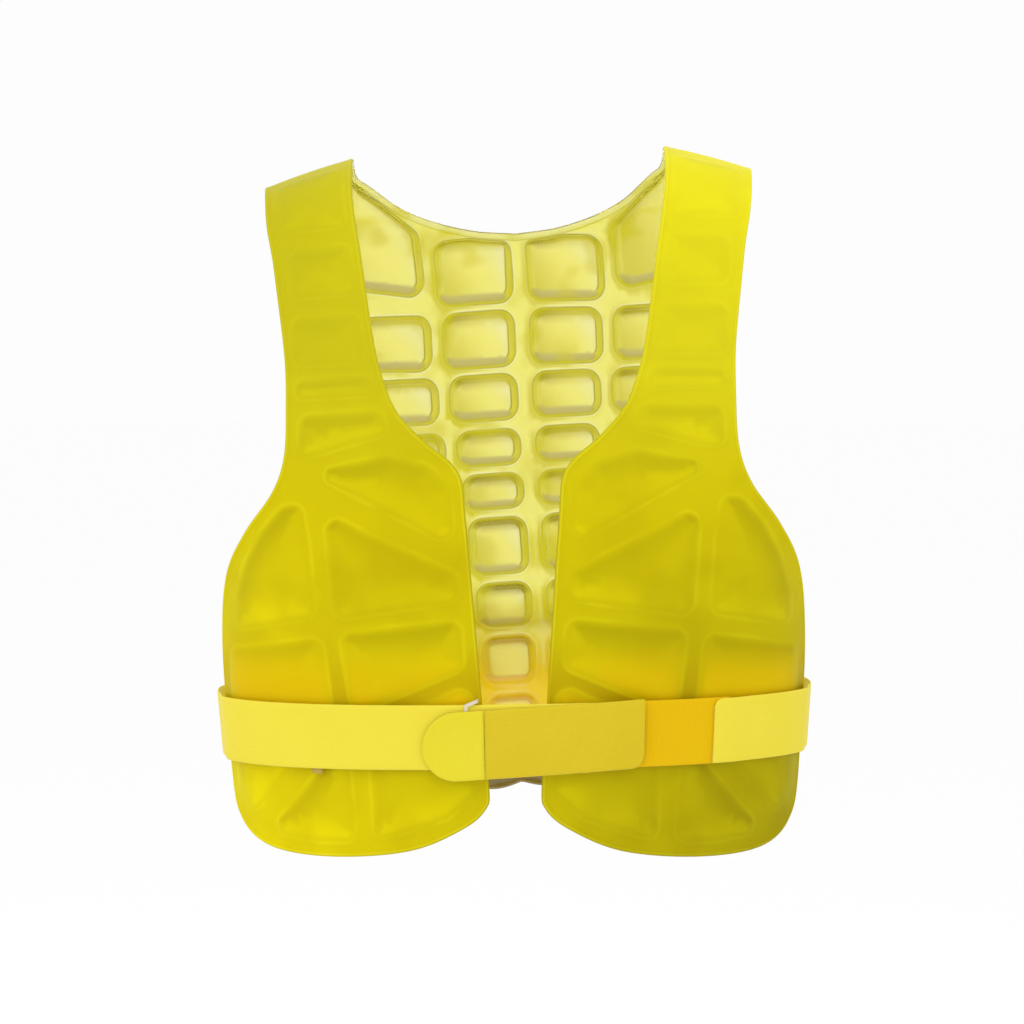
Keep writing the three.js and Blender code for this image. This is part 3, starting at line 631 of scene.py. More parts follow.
def wall_room(line, inward, width):
    """Share of the wall's width that fits at each point of a cell's line."""
    room = np.full(len(line), 1.0)
    for i, (point, normal) in enumerate(zip(line, inward)):
        offset = line - point
        depth = offset @ normal
        flat = (offset**2).sum(axis=1)
        ahead = depth > LEAST_DEPTH
        # radius of the circle that touches the line here and meets each other point
        radius = flat[ahead] / (2 * depth[ahead])
        room[i] = min(1, WALL_SHARE * radius.min() / width) if ahead.any() else 1
    window = range(-ROOM_REACH, ROOM_REACH + 1)
    room = np.min([np.roll(room, k) for k in window], axis=0)
    return np.mean([np.roll(room, k) for k in window], axis=0)


# %% Rings of a cut edge and of a cell
def edge_rings(pattern, runs, normals, step):
    """Closed rings from the cut edge inwards, which cross the shoulder seams."""
    crests = [max(2, round(np.hypot(*(runs[(i + 1) % len(runs)][0] - run[-1])) / step))
              for i, run in enumerate(runs)]
    rings = []
    for inset, _ in EDGE:
        moved = [run + normal * inset for run, normal in zip(runs, normals)]
        line, inset_at = [], []
        for i, run in enumerate(moved):
            after = moved[(i + 1) % len(moved)][0]
            seam = [lerp(run[-1], after, k / crests[i]) for k in range(1, crests[i])]
            line += [*run, *seam]
            inset_at += [inset] * len(run) + [EDGE[-1][0]] * len(seam)
        rings.append(pattern.add(line, edge=inset_at))
    pattern.bridge(rings)
    return rings


def add_cell(pattern, line, wall, grid, light, lens_reach):
    """Rings of a cell from its weld line to its floor, and the floor. Gives the first ring."""
    inward = inward_normals(line, closed=True)
    width = wall[-1][0]
    reach = wall_room(line, inward, width)
    shade = -(inward @ light)
    rings = []
    for distance, *_ in wall:
        ring = line + inward * (distance * np.where(distance > 0, reach, 1))[:, None]
        rings.append(pattern.add(
            ring, weld=distance, lens=shade * lens_fade(distance, lens_reach),
            side=-inward[:, 0] * ease(distance - SIDE_START), glow=glow_in(line, ring)))
    pattern.bridge(rings)
    pattern.fill(
        rings[-1], [], grid,
        weld=lambda points, found: [width + distance for *_, distance in found],
        lens=lambda points, found: [
            shade[i] * lens_fade(width + distance, lens_reach) for _, i, distance in found],
        glow=lambda points, found: glow_in(line, points))
    return rings[0]


# %% Whole patterns
def panel_pattern(runs, cells, wall, step, grid, light, lens_reach):
    """Flat pattern of a panel. Runs are the lengths of cut edge between its shoulder seams."""
    pattern = Pattern()
    normals = [inward_normals(run, closed=False) for run in runs]
    for normal in normals:  # at a shoulder seam the edge moves in along the seam
        for end in (0, -1):
            normal[end] = (math.copysign(1, normal[end][0]), 0)
    rings = edge_rings(pattern, runs, normals, step)
    edge_points, edge_normals = np.concatenate(runs), np.concatenate(normals)
    near_edge = finder(edge_points)
    holes = []
    for corners in cells:
        line = cell_line(corners, step)
        for i, point in enumerate(line):
            found = near_edge.find((*point, 0))[1]
            depth = (point - edge_points[found]) @ edge_normals[found]
            if depth < EDGE_MARGIN:
                line[i] += edge_normals[found] * (EDGE_MARGIN - depth)
        holes.append(add_cell(pattern, smoothed(line), wall, grid, light, lens_reach))
    pattern.fill(rings[-1], holes, grid)
    pattern.values["cut"] = [near_edge.find((*point, 0))[2] for point in pattern.points]
    print(f"{len(cells)} cells, {len(pattern.points)} points in the flat pattern")
    return pattern, rings[0]


def new_piece(name, points, faces, material, node):
    """A smooth piece in the CAD's place: rides on the root body and stands for a node."""
    mesh = bpy.data.meshes.new(name)
    mesh.from_pydata((points * MM).tolist(), [], faces)
    mesh.shade_smooth()
    mesh.materials.append(material)
    obj = bpy.data.objects.new(name, mesh)
    bpy.context.scene.collection.objects.link(obj)
    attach(obj, "root")
    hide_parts(node)
    triangles = sum(len(face) - 2 for face in faces)
    print(f"{name}: {len(points)} points, {triangles} triangles")
    return obj


# %% Panels on the form
def lay_out(pattern, rim, place, sense, wall, dome, name, material, node):
    """Lays a pattern on the form as two skins, closes them along the cut, and dresses a node."""
    flat = np.array(pattern.points)
    down = flat[:, 1]
    distance = np.array(pattern.values["weld"])
    rows = np.array(wall)
    bulge = dome * (1 - np.exp(-np.maximum(distance - rows[-1, 0], 0) / DOME_REACH))
    outer_lift = np.interp(distance, rows[:, 0], rows[:, 1]) + bulge
    inner_lift = np.interp(distance, rows[:, 0], rows[:, 2]) + bulge
    edge = np.array(EDGE)
    half = FILM / 2 * np.interp(pattern.values["edge"], edge[:, 0], edge[:, 1])
    slack = SLACK * ease(down / SLACK_LENGTH) * np.array([
        noise.noise((x / SLACK_LENGTH, y / SLACK_LENGTH, len(name))) for x, y in flat])
    at = place(*flat.T)
    normal = sense * normals_of(place, *flat.T)
    outer = at + normal * (half + outer_lift + slack)[:, None]
    inner = at + normal * (-half + inner_lift + slack)[:, None]
    count = len(flat)
    faces = []
    for face in pattern.faces:
        shown = face if sense > 0 else face[::-1]
        faces += [shown, tuple(v + count for v in shown[::-1])]
    for a, b in zip(rim, rim[1:] + rim[:1]):
        wall_face = (a, a + count, b + count, b)
        faces.append(wall_face if sense > 0 else wall_face[::-1])
    obj = new_piece(name, np.concatenate([outer, inner]), faces, material, node)
    stored_values = {key: np.tile(values, 2) for key, values in pattern.values.items()}
    stored_values["inner"] = np.repeat([0, 1], count)  # 1 on the wearer's side
    for key, values in stored_values.items():
        layer = obj.data.attributes.new(key, "FLOAT", "POINT")
        layer.data.foreach_set("value", values.astype(np.float32))


# %% [markdown]
# ## Tints of the film
#
# One yellow film looks different over a bead, in the bend of a wall, over deep gel and
# beside the cut. A picture painted for it would fit one size of panel only. Here each point
# of the film knows how far it is from such places, so one tint is laid over another where
# a distance says so, as a painter lays glazes. It stays in place when a size changes.

# %% What a finish can read from the film
def film_values(tree, stored, **patches):
    """What is known at each point of the film, by name: stored values, place and patches.

    A patch gives its size in millimetres and how much finer detail it has."""
    place = add_node(tree, "TexCoord", {}).outputs["Object"]
    at = add_node(tree, "SeparateXYZ", {}, {0: place}).outputs
    film = {"across": at["X"], "height": at["Z"]}
    for key in stored:
        film[key] = add_node(tree, "Attribute", {"attribute_name": key}).outputs["Fac"]
    for key, (size, detail) in patches.items():
        film[key] = add_node(tree, "TexNoise", {
            "Scale": 1 / (size * MM), "Detail": detail}, {"Vector": place}).outputs["Fac"]
    return film


# %% Bands and glazes
def banded(tree, distance, bands):
    """Tints along a distance. Bands pair millimetres with a colour."""
    first, last = bands[0][0], bands[-1][0]
    share = add_node(tree, "MapRange", {
        "From Min": first, "From Max": last}, {"Value": distance})
    ramp = add_node(tree, "ValToRGB", {}, {0: share.outputs[0]})
    stops = ramp.color_ramp.elements
    while len(stops) < len(bands):
        stops.new(0.5)
    for stop, (at, colour) in zip(stops, bands):
        stop.position = (at - first) / (last - first)
        stop.color = linear(colour)
    return ramp.outputs["Color"]


def share_of(tree, film, fades):
    """Product of fades. A fade names a value, its two ends and the shares there, if not 0, 1."""
    product = None
    for key, start, end, *shares in fades:
        low, high = shares or (0, 1)
        share = add_node(tree, "MapRange", {
            "interpolation_type": "SMOOTHSTEP", "From Min": start, "From Max": end,
            "To Min": low, "To Max": high}, {"Value": film[key]}).outputs[0]
        product = share if product is None else add_node(
            tree, "Math", {"operation": "MULTIPLY"}, {0: product, 1: share}).outputs[0]
    return product


def glazed(tree, film, tint, glazes):
    """A tint under glazes, each a colour or an output, with the fades that limit it."""
    for glaze, *fades in glazes:
        colours = {6: tint, 7: glaze}
        fixed = {k: linear(c) for k, c in colours.items() if isinstance(c, str)}
        linked = {k: c for k, c in colours.items() if not isinstance(c, str)}
        tint = add_node(
            tree, "Mix", {"data_type": "RGBA", **fixed},
            {0: share_of(tree, film, fades), **linked}).outputs[2]
    return tint


# %% [markdown]
# ## Front film
#
# The front panels are thermoplastic polyurethane, a soft rubbery film, calendered with a
# fine matt grain. Light goes into it, spreads and comes out elsewhere, so it looks soft
# and has no sharp glints. Full glass-like transmission would show a hard picture of the
# back through it, so a diffuse yellow with light scattered below the surface is closer.
# Gel bends the light in each cell: it is dark below its top rim and bright low down.

# %% Frosted polyurethane film
front_film, tree = new_material("frosted polyurethane film")
film = film_values(
    tree, ("weld", "lens", "cut"), cloud=(62.5, 2), uneven=(35.7, 1), patches=(45.5, 1),
    grain=(1.111, 2))  # the real grain is finer, and too fine to show
rim = banded(tree, film["cut"], [
    (0.0, "#aa9f1c"), (0.6, "#b4a914"), (1.4, "#d2c716"), (3.2, "#cabd06")])
# the bead at each weld is painted a little lighter than the film around it: a painted highlight
tint = banded(tree, film["weld"], [
    (-2.6, "#c8ba01"), (-1.2, "#cabc03"), (0.6, "#cfc307"), (3.2, "#c6b801"),
    (6.0, "#c5b701"), (14.0, "#c7b901")])
# heights are in metres; at these ones the belt lies behind the back panel
BELT_BEHIND = [("height", -0.335, -0.38), ("height", -0.435, -0.4)]
tint = glazed(tree, film, tint, [
    # light bent by the gel leaves a cell's top wall dark and its bottom wall bright
    ("#a59700", ("lens", 0, 1, 0, 0.6)),
    ("#dccf04", ("lens", 0, -1, 0, 0.6)),
    (rim, ("cut", 3.2, 2)),
    ("#b5a500", ("cloud", 0.42, 0.72, 0, 0.55)),
    # the beads beside the welds catch the light in some places and not in others
    ("#c2b400", ("uneven", 0.42, 0.6, 0, 0.55), ("weld", -2.6, -0.5), ("weld", 3.2, 1.6)),
    # more light falls on the straps
    ("#c9c31c", ("height", -0.26, -0.12, 0, 0.6)),
    # painted shade: between the cells the film is darkened to olive around the belt's height
    ("#b09a00", *BELT_BEHIND, ("weld", 1, -2.4, 0, 0.75))])

# %% Painted light and shade on the fronts
# painted light and shade: paler at one shoulder and the hem across from it, darker at the other
# shoulder and hem; slant per square metre, rise per metre
PAINTED_LIGHT_SLANT, PAINTED_LIGHT_RISE, PAINTED_LIGHT_MIDDLE, PAINTED_LIGHT_MEAN = 6.5, 0.35, 0.25, 1.02
slant = add_node(tree, "Math", {
    "operation": "MULTIPLY_ADD", 1: PAINTED_LIGHT_SLANT, 2: PAINTED_LIGHT_RISE}, {0: film["across"]})
upwards = add_node(tree, "Math", {
    "operation": "ADD", 1: PAINTED_LIGHT_MIDDLE}, {0: film["height"]})
fill = add_node(tree, "Math", {"operation": "MULTIPLY_ADD", 2: PAINTED_LIGHT_MEAN}, {
    0: slant.outputs[0], 1: upwards.outputs[0]})
# the tint is scaled by this painted light and shade
tint = add_node(tree, "VectorMath", {"operation": "SCALE"}, {
    0: tint, "Scale": fill.outputs[0]}).outputs[0]
# the belt behind the back shows through the gel as a warm, patchy stretch
tint = glazed(tree, film, tint, [
    ("#d8b800", *BELT_BEHIND, ("patches", 0.3, 0.6, 0.6, 1), ("weld", -2, 9, 0.3, 1))])
rough = add_node(tree, "Bump", {
    "Strength": 0.12, "Distance": 0.2 * MM}, {"Height": film["grain"]})
finished(front_film, {
    "Roughness": 0.45, "IOR": 1.5, "Specular IOR Level": 0.05, "Subsurface Weight": 0.25,
    "Subsurface Radius": (1.0, 0.8, 0.2), "Subsurface Scale": 6 * MM},
    {"Base Color": tint, "Normal": rough.outputs[0]})

# %% [markdown]
# ## Back film
#
# The back panel is the same film left glossy, so it throws small glints where it is pressed
# unevenly. White light comes through it from behind, which makes it paler than the fronts,
# and each cell's walls are painted as crisp bands of light and shade: dark above, bright on
# the floor, greyish below. Part of the light is let through by transmission, the rest
# scatters in the film as before. Some tints belong to one side of the panel only, since
# both sides can be seen.

# %% Glossy polyurethane film
back_film, tree = new_material("glossy polyurethane film")
film = film_values(
    tree, ("weld", "lens", "side", "glow", "cut", "inner"), patches=(29.4, 1), press=(23.8, 1))
# painted shade for each cell's top wall: darker lower down the back and towards the cell's lower
# left
painted_shade_under_rim = glazed(tree, film, "#e0d644", [
    ("#a29606", ("height", -0.14, -0.32)), ("#a49600", ("glow", 0.5, -0.5, 0, 0.8))])
# a pale band of painted highlight along the cut edge, with a dark line inside it
rim = banded(tree, film["cut"], [
    (0.0, "#d8d050"), (0.9, "#f6f0a0"), (3.8, "#f8f680"), (4.8, "#c4bc3c"), (5.6, "#f0e874")])
# along each weld: painted highlights on the web just outside it and at the floor's edge, a dark
# line at the weld, and deeper yellow walls
tint = banded(tree, film["weld"], [
    (-2.4, "#fff87c"), (-1.2, "#fffcac"), (-0.5, "#b2a810"), (0.3, "#e2da3a"),
    (1.4, "#ece444"), (4.8, "#e8e040"), (5.6, "#fffa90"), (8.0, "#fff880"), (16.0, "#fff678")])
BELT_OUTSIDE = [("inner", 0, 1), ("height", -0.32, -0.39)]
tint = glazed(tree, film, tint, [
    # painted light and shade: the cells lie like shallow dishes that face down and left, so they
    # are painted deep yellow there and pale opposite
    ("#dad210", ("glow", 0.15, -0.8, 0, 0.8)),
    ("#fffcc0", ("glow", 0.1, 0.8, 0, 0.85), ("weld", 4.8, 5.8)),
    # the left wall is seen edge on and vanishes; the right one ends in a thin dark line of painted
    # shade where it meets the floor
    ("#efe85c", ("side", -0.3, -0.9, 0, 0.9), ("weld", 0.2, 1), ("weld", 6.5, 5)),
    ("#a89c14", ("side", 0.4, 0.9, 0, 0.8), ("weld", 4, 4.9), ("weld", 6, 5.1)),
    # painted shade on each cell's top wall
    (painted_shade_under_rim, ("lens", 0, 1, 0, 0.9)),
    # painted shade greys each cell's bottom wall
    ("#cfc46e", ("lens", -0.35, -0.7, 0, 0.9)),
    (rim, ("cut", 5.6, 4.4)),
    ("#ded612", ("patches", 0.5, 0.68, 0, 0.6)),
    # seen from inside, the belt shows through the film low down as an amber stretch, and
    # the hem lies in the vest's own shadow
    ("#eec218", *BELT_OUTSIDE, ("weld", 7, 4.6, 0.2, 0.7)),
    # painted light: in that stretch the floors are pale towards their upper right
    ("#ffe870", *BELT_OUTSIDE, ("weld", 5, 8, 0, 0.75), ("glow", -0.9, 0.2, 0.3, 1)),
    ("#7a6a34", ("inner", 0, 1), ("height", -0.452, -0.464, 0, 0.95))])
# hardly any light comes through where the belt lies behind the film
clear = share_of(tree, film, [("height", -0.362, -0.325, 0.04, 0.8)])
pressed = add_node(tree, "Bump", {
    "Strength": 0.35, "Distance": 1.5 * MM}, {"Height": film["press"]})
finished(back_film, {
    "Roughness": 0.12, "IOR": 1.45, "Subsurface Weight": 0.8,
    "Subsurface Radius": (1.0, 0.9, 0.3), "Subsurface Scale": 6 * MM,
    "Coat Weight": 0.5, "Coat Roughness": 0.05},
    {"Base Color": tint, "Transmission Weight": clear, "Normal": pressed.outputs[0]})

# %% [markdown]
# ## The three panels
#
# The two fronts come from one pattern, laid on the form as each other's mirror image. The
# back's cells are rows of rectangles beside a spine, so they are worked out from a table
# of rows and not drawn one by one.

# %% Front panels
FRONT_STEP, BACK_STEP = 2.4, 2.8
FRONT_GRID, BACK_GRID = 4.5, 5.0
# across and down, the way from a cell's middle to its dark wall; then the millimetres over
# which bent light starts, those that it reaches, and how sharply it ends
FRONT_LIGHT, FRONT_LENS = np.array([0.4, -0.92]), (8, 19, 2)
BACK_LIGHT, BACK_LENS = np.array([0.25, -0.97]), (1.5, 7.6, 4)

front_edge = smooth_line(placed(FRONT_OUTLINE, FRONT_LENGTH), FRONT_STEP)[::-1].copy()
front_edge[[0, -1], 1] = SHOULDER_GAP / 2
front_cells = [placed(rows, FRONT_LENGTH) for rows in FRONT_CELLS.values()]
pattern, rim = panel_pattern(
    [front_edge], front_cells, FRONT_WALL, FRONT_STEP, FRONT_GRID, FRONT_LIGHT, FRONT_LENS)
for name, side in (("left_front", 1), ("right_front", -1)):
    lay_out(
        pattern, rim, lambda across, down: form_point(side * across, down, False), -side,
        FRONT_WALL, FRONT_DOME, name, front_film, name + "_panel")


# %% Back panel
def edge_across(line, down):
    """How far an edge line lies from the middle at a distance down."""
    return np.interp(down, line[:, 1], line[:, 0])


def row_cell(x0, x1, y0, y1, lift):
    return np.array([(x0, y0 - lift(x0)), (x1, y0 - lift(x1)),
                     (x1, y1 - lift(x1)), (x0, y1 - lift(x0))])


arm_side = placed(BACK_ARM_SIDE, BACK_LENGTH)
half_cells = [placed(SHOULDER_CELL, BACK_LENGTH)]
for top, bottom, reach, beside, rise in BACK_ROWS:
    y0, y1, inner = top * BACK_LENGTH, bottom * BACK_LENGTH, reach * SIDE_EDGE
    half_cells.append(row_cell(SPINE_WEB / 2, inner, y0, y1, lambda x: 0))
    outer = min(edge_across(arm_side, y0), edge_across(arm_side, y1)) - EDGE_WEB
    start = inner + CELL_WEB
    for i in range(beside):
        pitch = (outer - start + CELL_WEB) / beside
        half_cells.append(row_cell(
            start + i * pitch, start + (i + 1) * pitch - CELL_WEB, y0, y1,
            lambda x: rise * BACK_LENGTH * (x - start) / (outer - start)))
back_cells = half_cells + [cell * (-1, 1) for cell in half_cells]

arm_edge = smooth_line(arm_side, BACK_STEP)
hem_start = arm_edge[-1]
hem_x = np.linspace(hem_start[0], 0, round(hem_start[0] / BACK_STEP) + 1)[1:]
dips = HEM_SCALLOP * np.abs(np.cos(math.pi * SCALLOPS * hem_x / hem_start[0]))
half_edge = np.concatenate([arm_edge, np.stack([hem_x, hem_start[1] + dips], axis=-1)])
outer_edge = np.concatenate([half_edge, half_edge[-2::-1] * (-1, 1)])
neck_edge = smooth_line(placed(BACK_NECKLINE, BACK_LENGTH), BACK_STEP)
neck_edge = np.concatenate([neck_edge[:-1] * (-1, 1), neck_edge[::-1]])
for edge_line in (outer_edge, neck_edge):
    edge_line[[0, -1], 1] = SHOULDER_GAP / 2
pattern, rim = panel_pattern(
    [outer_edge, neck_edge], back_cells, BACK_WALL, BACK_STEP, BACK_GRID,
    BACK_LIGHT, BACK_LENS)
lay_out(
    pattern, rim, lambda across, down: form_point(across, down, True), 1,
    BACK_WALL, BACK_DOME, "back", back_film, "back_panel")

# %% [markdown]
# ## The belt
#
# Webbing is woven flat and keeps its width, so a belt is a ribbon swept round the body: a
# place along it, and a height. It lies on the cells' tops and closes in on the body where
# there are none. Each ribbon is a fine grid with thin selvedges, and its ends are cut in
# the grid itself: the tab's half round, the strap's and the band's softened corners.

# %% Sizes of the belt, in millimetres
BELT_DROP = 407.8
BELT_TILT = 0.015
BELT_BACK_LIFT = 39
BELT_THICKNESS = 1.6
BELT_CLEARANCE = 1.3
LAP_CLEARANCE = 0.35
BAND_WIDTH = 47
ELASTIC_WIDTH = 48
STRAP_BAND_WIDTH = 50
STRAP_TILT = 0.067
STRAP_SAG = 3.1
TAB_TIP = -67
TAB_SEAM = -22
STRAP_END = 93.3
BAND_END = 62
ELASTIC_START = 76
BAND_START = 145
ELASTIC_LAP = 12
LAP_RAMP = 22
SEAM_GAP = 0.3
SEAT_RAMP = 17
SEAT_LEAD = 6
LIFT_START = 0.75
FRONT_RELIEF = 3.6
BACK_RELIEF = 6.4
HOOK = {"start": -58, "end": -26, "tall": 34, "thick": 1,
        "stub": 10.5, "proud": 4.4, "arm": 2.8}
ANCHOR = {"start": -151, "end": -143, "tall": 26, "thick": 0.5, "below": 4}


# %% The surface that the belt lies on
GIRTH = 4 * QUARTER_GIRTH
BELT_SHARE = BELT_DROP / TRUNK_LENGTH


def around_of(place):
    return (place + QUARTER_GIRTH) % GIRTH - QUARTER_GIRTH


def backness(around):
    """0 on the fronts, 1 on the back, eased between their side edges."""
    from_front = np.minimum(np.abs(around), np.abs(GIRTH - around))
    return ease((from_front - SIDE_EDGE) / (2 * (QUARTER_GIRTH - SIDE_EDGE)))


def belt_surface(place, height):
    """Points of the form at places along the belt and heights, in millimetres."""
    around = around_of(place)
    is_back = around > QUARTER_GIRTH
    x, y = section_at(np.where(is_back, 2 * QUARTER_GIRTH - around, around))
    roll = lerp(roll_at(BELT_SHARE, False), roll_at(BELT_SHARE, True), backness(around))
    share = (roll * x * CHEST_HALF_WIDTH - height) / TRUNK_LENGTH
    depth = np.where(is_back, depth_at(share, True), depth_at(share, False))
    return np.stack(
        [half_width(share) * x + SHOULDER_DRIFT * (1 - share), depth * y, height + 0 * x], axis=-1)


def belt_height(place):
    """Height of the belt's middle, which tilts a little and rises round the back."""
    x, y, _ = np.moveaxis(belt_surface(place, np.full_like(place, -BELT_DROP)), -1, 0)
    front, back = -depth_at(BELT_SHARE, False), depth_at(BELT_SHARE, True)
    to_back = (y + front) / (front + back)
    lift = BELT_BACK_LIFT * ease((to_back - LIFT_START) / (1 - LIFT_START))
    return -BELT_DROP + BELT_TILT * x + lift


def belt_seat(place):
    """How far the belt's inner face lies outside the form."""
    around = around_of(place)
    is_back = (around > QUARTER_GIRTH) & (around < 3 * QUARTER_GIRTH)
    from_side = QUARTER_GIRTH - np.abs(np.where(is_back, 2 * QUARTER_GIRTH - around, around))
    bare = QUARTER_GIRTH - SIDE_EDGE - SEAT_LEAD
    relief = np.where(is_back, BACK_RELIEF, FRONT_RELIEF)
    return FILM / 2 + relief * ease((from_side - bare) / SEAT_RAMP) + BELT_CLEARANCE


# %% Ribbons
RIBBON_STEP = 3
RIBBON_ROWS = 15
SELVEDGE = 0.06  # share of the half width over which the ribbon thins
SELVEDGE_THINNING = 0.75  # share of the thickness that it loses there


def ribbon(name, places, top, bottom, level, thick, material, node):
    """A woven ribbon between two edges, given as heights at each place."""
    across = np.sin(np.linspace(-math.pi / 2, math.pi / 2, RIBBON_ROWS))
    shape = (len(places), RIBBON_ROWS)
    place = np.broadcast_to(places[:, None], shape)
    height = lerp(bottom(places)[:, None], top(places)[:, None], (across + 1) / 2)
    normal = -normals_of(belt_surface, place, height)
    at = belt_surface(place, height)
    outwards = np.sign((normal * at)[..., :2].sum(axis=-1))[..., None]
    normal = normal * outwards
    near_edge = np.clip((np.abs(across) - 1 + SELVEDGE) / SELVEDGE, 0, 1)
    thin = 1 - SELVEDGE_THINNING * near_edge**2
    middle = (belt_seat(places) + level(places))[:, None] + thick / 2
    outer = at + normal * (middle + thick / 2 * thin)[..., None]
    inner = at + normal * (middle - thick / 2 * thin)[..., None]
    points = np.concatenate([outer.reshape(-1, 3), inner.reshape(-1, 3)])
    index = np.arange(place.size).reshape(shape)
    a, b, c, d = index[:-1, :-1], index[1:, :-1], index[1:, 1:], index[:-1, 1:]
    faces = np.stack([a, b, c, d], axis=-1).reshape(-1, 4).tolist()
    faces += [[v + place.size for v in face[::-1]] for face in faces]
    rim = [*index[:, 0], *index[-1, 1:], *index[-2::-1, -1], *index[0, -2:0:-1]]
    faces += [[p, p + place.size, q + place.size, q] for p, q in zip(rim, rim[1:] + rim[:1])]
    obj = new_piece(name, points, faces, material, node)
    along = obj.data.uv_layers.new(name="weave")
    flat = np.stack([place, height - ((top(places) + bottom(places)) / 2)[:, None]], axis=-1)
    flat = np.concatenate([flat.reshape(-1, 2)] * 2) * MM
    corners = np.zeros(len(obj.data.loops), int)
    obj.data.loops.foreach_get("vertex_index", corners)
    along.data.foreach_set("uv", flat[corners].ravel())


def spaced(start, end):
    return np.linspace(start, end, max(3, round((end - start) / RIBBON_STEP) + 1))


def round_off(distance, radius):
    """How far a ribbon's edge steps back at a distance from its rounded end."""
    short = radius - np.clip(distance, 0, radius)
    return radius - np.sqrt(radius**2 - short**2)


def corner_steps(count):
    """Shares of a radius, close together where a rounded edge is steep."""
    return 1 - np.cos(np.linspace(0, math.pi / 2, count))


# %% [markdown]
# ## Webbing
#
# The band, strap and tab are polyester webbing, woven flat with fine ribs along it, and
# dyed in slightly different yellows. Threads scatter light, so it is matt, with a little
# sheen at a slant. The elastic has rubber cores inside, which draw its weave into small
# cross ribs. The ribs are about 0.6 mm apart on the real ones and drawn 1.4 mm apart here,
# so that the camera can see them. They follow the ribbon's own map, in metres.

# %% Webbing materials
WAVE_TURNS = 20  # radians of a wave texture per unit of its scale
THREAD, PATCH = 1.111, 55.6  # mm; real threads are too fine to show
# the ribs darken their grooves as painted shade; threads and patches darken the dye unevenly
RIB_PAINTED_SHADE, THREAD_SHADE, PATCH_SHADE = 0.22, 0.4, 0.35  # how far each one darkens the dye
SHADE_FROM, SHADE_TO = 0.25, 0.75  # darkness at which the second dye starts and is full
RIB_DEPTH = 0.18  # mm
THREAD_RELIEF = 0.5  # of a rib's height


def woven(name, colour, shade, rib, direction, roughness=0.75):
    """Woven ribbon: ribs some millimetres apart, in a direction of its map."""
    material, tree = new_material(name)
    weave = add_node(tree, "TexCoord", {}).outputs["UV"]
    ribs = add_node(tree, "TexWave", {
        "wave_type": "BANDS", "bands_direction": direction, "wave_profile": "SIN",
        "Scale": 2 * math.pi / (WAVE_TURNS * rib * MM)}, {"Vector": weave}).outputs["Fac"]
    threads, patches = (add_node(tree, "TexNoise", {
        "Scale": 1 / (size * MM), "Detail": detail}, {"Vector": weave}).outputs["Fac"]
        for size, detail in ((THREAD, 3), (PATCH, 2)))
    # painted shade: the ribs' grooves are darker; threads and patches vary the dye
    darkness = add_node(tree, "MapRange", {
        "From Min": 0, "From Max": 1, "To Min": RIB_PAINTED_SHADE, "To Max": 0},
        {"Value": ribs}).outputs[0]
    for pattern_value, strength in ((threads, THREAD_SHADE), (patches, PATCH_SHADE)):
        darkness = add_node(tree, "Math", {
            "operation": "MULTIPLY_ADD", 1: strength}, {0: pattern_value, 2: darkness}).outputs[0]
    share = add_node(tree, "MapRange", {
        "From Min": SHADE_FROM, "From Max": SHADE_TO}, {"Value": darkness})
    dyed = add_node(tree, "Mix", {
        "data_type": "RGBA", 6: linear(colour), 7: linear(shade)}, {0: share.outputs[0]})
    relief = add_node(tree, "Math", {
        "operation": "MULTIPLY_ADD", 1: THREAD_RELIEF}, {0: threads, 2: ribs})
    bump = add_node(tree, "Bump", {
        "Strength": 0.5, "Distance": RIB_DEPTH * MM}, {"Height": relief.outputs[0]})
    return finished(material, {
        "Roughness": roughness, "IOR": 1.5, "Specular IOR Level": 0.12,
        "Sheen Weight": 0.15, "Sheen Roughness": 0.4},
        {"Base Color": dyed.outputs[2], "Normal": bump.outputs[0]})


RIB, CROSS_RIB, HOOK_ROW = 1.4, 1.8, 1.7  # mm
band_webbing = woven("lemon polyester webbing", "#eddd46", "#e5d338", RIB, "Y")
strap_webbing = woven("warm yellow polyester webbing", "#dac32a", "#ceb51d", RIB, "Y")
tab_webbing = woven("lemon webbing with a brushed face", "#e6d936", "#dccb2a", RIB, "X", 0.85)
orange_elastic = woven("orange woven elastic", "#e6bd00", "#dcae00", CROSS_RIB, "X", 0.8)
hook_nylon = woven("off-white nylon hook tape", "#e4dcc8", "#cdbf9f", HOOK_ROW, "X", 0.6)
beige_tape = woven("beige cotton tape", "#c3a855", "#b19243", RIB, "Y", 0.9)

# %% [markdown]
# ## Pieces of the belt
#
# The band comes round from the wearer's left front and the back, and ends under the strap.
# The elastic joins its other end to the strap, and the tab at the strap's end presses on
# the band by its hooks. Each piece lies one thickness above the one that it laps over.

# %% Layers and edges
LAP_STEP = BELT_THICKNESS + LAP_CLEARANCE
STRAP_LEVEL = LAP_STEP + HOOK["thick"] + LAP_CLEARANCE
STRAP_MIDDLE = (TAB_TIP + STRAP_END) / 2
CORNER = 6
STRAP_CORNER = 9
SOFT_CORNER = 2


def flat_level(height):
    return lambda place: np.full_like(place, height, dtype=float)


def strap_line(place):
    return -BELT_DROP - STRAP_SAG + STRAP_TILT * (place - STRAP_MIDDLE)


# %% Band and elastic
band_places = np.concatenate([
    BAND_START + CORNER * corner_steps(8)[:-1],
    spaced(BAND_START + CORNER, GIRTH + BAND_END)])
ribbon(
    "band", band_places,
    lambda p: belt_height(p) + BAND_WIDTH / 2 - round_off(p - BAND_START, CORNER),
    lambda p: belt_height(p) - BAND_WIDTH / 2,
    lambda p: LAP_STEP * (1 - ease((p - BAND_START - ELASTIC_LAP) / LAP_RAMP)),
    BELT_THICKNESS, band_webbing, "belt_band")
ribbon(
    "elastic", spaced(ELASTIC_START, BAND_START + ELASTIC_LAP),
    lambda p: belt_height(p) + ELASTIC_WIDTH / 2,
    lambda p: belt_height(p) - ELASTIC_WIDTH / 2,
    flat_level(0), BELT_THICKNESS, orange_elastic, "belt_elastic")

